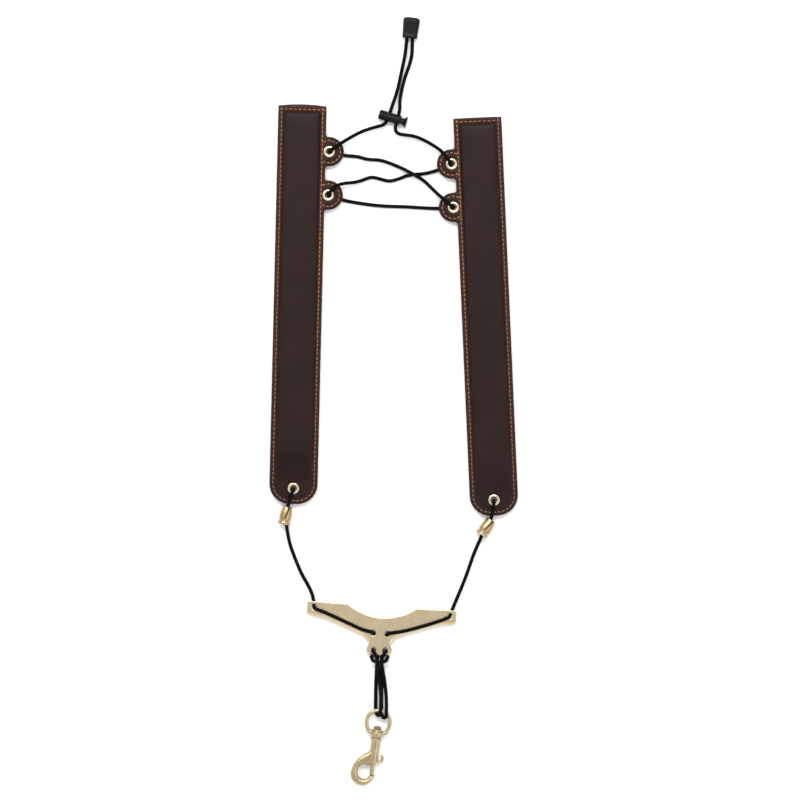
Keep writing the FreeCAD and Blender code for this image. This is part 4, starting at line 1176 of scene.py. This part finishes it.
def snap_hook():
    place = lying(HOOK)
    arm = hook_arm(place)
    barrel = lathe("barrel", [
        (0, 0.0), (4.1, 0.0), (4.4, 0.25), (4.5, 0.7), (4.35, 1.2), (4.0, 1.6), (3.9, 2.2),
        (3.75, 5.0), (3.6, 9.0), (3.5, 13.0), (3.5, 17.6), (3.35, 19.4), (3.05, 20.8),
        (2.7, 21.6), (0, 21.8),
    ], place, HOOK_METAL, 56)
    body = melted([arm, barrel], 0.24, 5)
    bore = drill(place, 2.0, 3.2, 24.5, 40)
    slot = block(place, (0, -1.1, 10.6), (6, 1.1, 20.0))
    post = drill(place, 1.82, -1, 2.5, 32)
    nose = block(place, (-1.7, -4, 23.6), (4.5, 4, 30.88))
    carved(body, [bore, slot, post, nose], 45)
    declared(body, "hook_metal", "hook", "hook_body")

    rivet = lathe("swivel_rivet_turned", [
        (0, -10.0), (1.1, -9.95), (2.1, -9.72), (2.8, -9.3), (3.2, -8.8), (3.25, -8.35),
        (3.1, -8.0), (2.6, -7.75), (1.8, -7.66), (1.8, 2.5), (0, 2.5),
    ], place, RIVET_METAL, 48, 40)
    declared(rivet, "hook_metal", "hook", "swivel_rivet")

    bolt = lathe("hook_bolt_turned", [
        (0, 13.5), (1.6, 13.5), (1.92, 13.8), (1.92, 30.2), (1.8, 30.6), (1.4, 30.8), (0, 30.8),
    ], place, HOOK_METAL, 40, 40)
    declared(bolt, "hook_metal", "bolt", "hook_bolt")

    bend = np.array([(0.1, 18.6), (2.0, 18.8), (3.9, 19.0), (5.6, 19.1), (7.0, 18.3),
                     (7.5, 16.8), (7.2, 15.1), (6.2, 14.2), (5.0, 14.5)])
    fine = np.linspace(0, len(bend) - 1, 90)
    x, z = [np.interp(fine, range(len(bend)), column) for column in bend.T]
    wire = np.column_stack([x, np.zeros(90), z])
    for _ in range(30):
        wire[1:-1] = (wire[:-2] + 2 * wire[1:-1] + wire[2:]) / 4
    trigger = sweep("thumb_trigger_bent", placed(wire, place),
                    lambda share: 0.95 + 0.25 * np.sin(np.pi * share), HOOK_METAL, 16, 0.35)
    declared(trigger, "hook_metal", "bolt", "thumb_trigger")


def eye_line():
    """The closed line of the eye's wire, in the XZ plane."""
    radius, centre, side, drop, corner = 9.7, -13.3, 14.0, 7.4, 2.4
    lean = math.degrees(math.asin(drop / side))
    right = arc(radius - side, centre, side, 0, lean, 0.4)
    cx = radius - side + (side - corner) * math.cos(math.radians(lean))
    cz = centre + (side - corner) * math.sin(math.radians(lean))
    right += arc(cx, cz, corner, lean, 90, 0.3)[1:]
    left = [(-x, z) for x, z in reversed(right)]
    over = arc(0, centre, radius, 180, 360, 0.4)[1:-1]
    return [(x, 0, z) for x, z in right + left + over]


def swivel_eye():
    place = lying(HOOK)
    line = eye_line()
    wire = sweep("eye_casting", placed(line + line[:1], place), 1.65, HOOK_METAL, 24, 0.4)
    collar = lathe("collar", [
        (0, -7.4), (3.3, -7.4), (3.9, -7.2), (4.25, -6.7), (4.25, -6.0), (3.95, -5.7),
        (4.1, -5.4), (4.9, -5.1), (5.3, -4.5), (5.35, -2.4), (5.2, -1.6), (4.85, -0.9),
        (4.5, -0.45), (4.1, -0.35), (0, -0.35),
    ], place, HOOK_METAL, 56)
    body = melted([wire, collar], 0.24, 4)
    carved(body, [drill(place, 1.86, -9, 1)], 45)
    declared(body, "hook_metal", "eye", "swivel_eye")


snap_hook()
swivel_eye()

# ---- room, lights and camera

FLOOR_HALF = 3000.0
FRAME_WIDTH = 0.664
CAMERA_HEIGHT = 3.205


def room():
    corners = [(x * FLOOR_HALF, y * FLOOR_HALF, -0.3)
               for x, y in ((-1, -1), (1, -1), (1, 1), (-1, 1))]
    floor = add_mesh("floor", corners, [(0, 1, 2, 3)], [material("pale_floor", pale_floor)])

    world = bpy.data.worlds.new("studio")
    world.use_nodes = True
    tree = world.node_tree
    direction = node(tree, "TexCoord", {}).outputs["Generated"]
    height = node(tree, "SeparateXYZ", {0: direction}).outputs["Z"]
    above = mixed(tree, ranged(tree, height, 0.86, 0.97), (1.25, 1.25, 1.25, 1), (0.6, 0.6, 0.6, 1))
    shade = mixed(tree, ranged(tree, height, 0.05, 0.55), (0.6, 0.6, 0.61, 1), above)
    fed(tree, tree.nodes["Background"], {"Color": shade, "Strength": 1.0})
    bpy.context.scene.world = world


def area_light(name, location, target, size, power):
    data = bpy.data.lights.new(name, "AREA")
    data.shape = "RECTANGLE"
    data.size, data.size_y = size
    data.energy = power
    light = added(name, data)
    light.location = location
    light.rotation_euler = (Vector(target) - Vector(location)).to_track_quat("-Z", "Y").to_euler()


def camera():
    data = bpy.data.cameras.new("camera")
    data.type = "PERSP"
    data.sensor_width = 36
    data.lens = 36 * 3.2 / FRAME_WIDTH
    data.clip_start, data.clip_end = 0.05, 50
    made = added("camera", data)
    made.location = (0.00498, 0.00125, CAMERA_HEIGHT)
    bpy.context.scene.camera = made


room()
area_light("key", (-0.9, 1.1, 1.5), (0, 0, 0), (1.2, 1.2), 9)
area_light("fill", (1.3, -0.5, 1.4), (0, 0, 0), (1.5, 1.5), 5)
area_light("top", (0.0, 1.1, 2.3), (0, 0.2, 0), (1.3, 0.35), 30)
camera()
bpy.context.scene.view_settings.view_transform = "Standard"
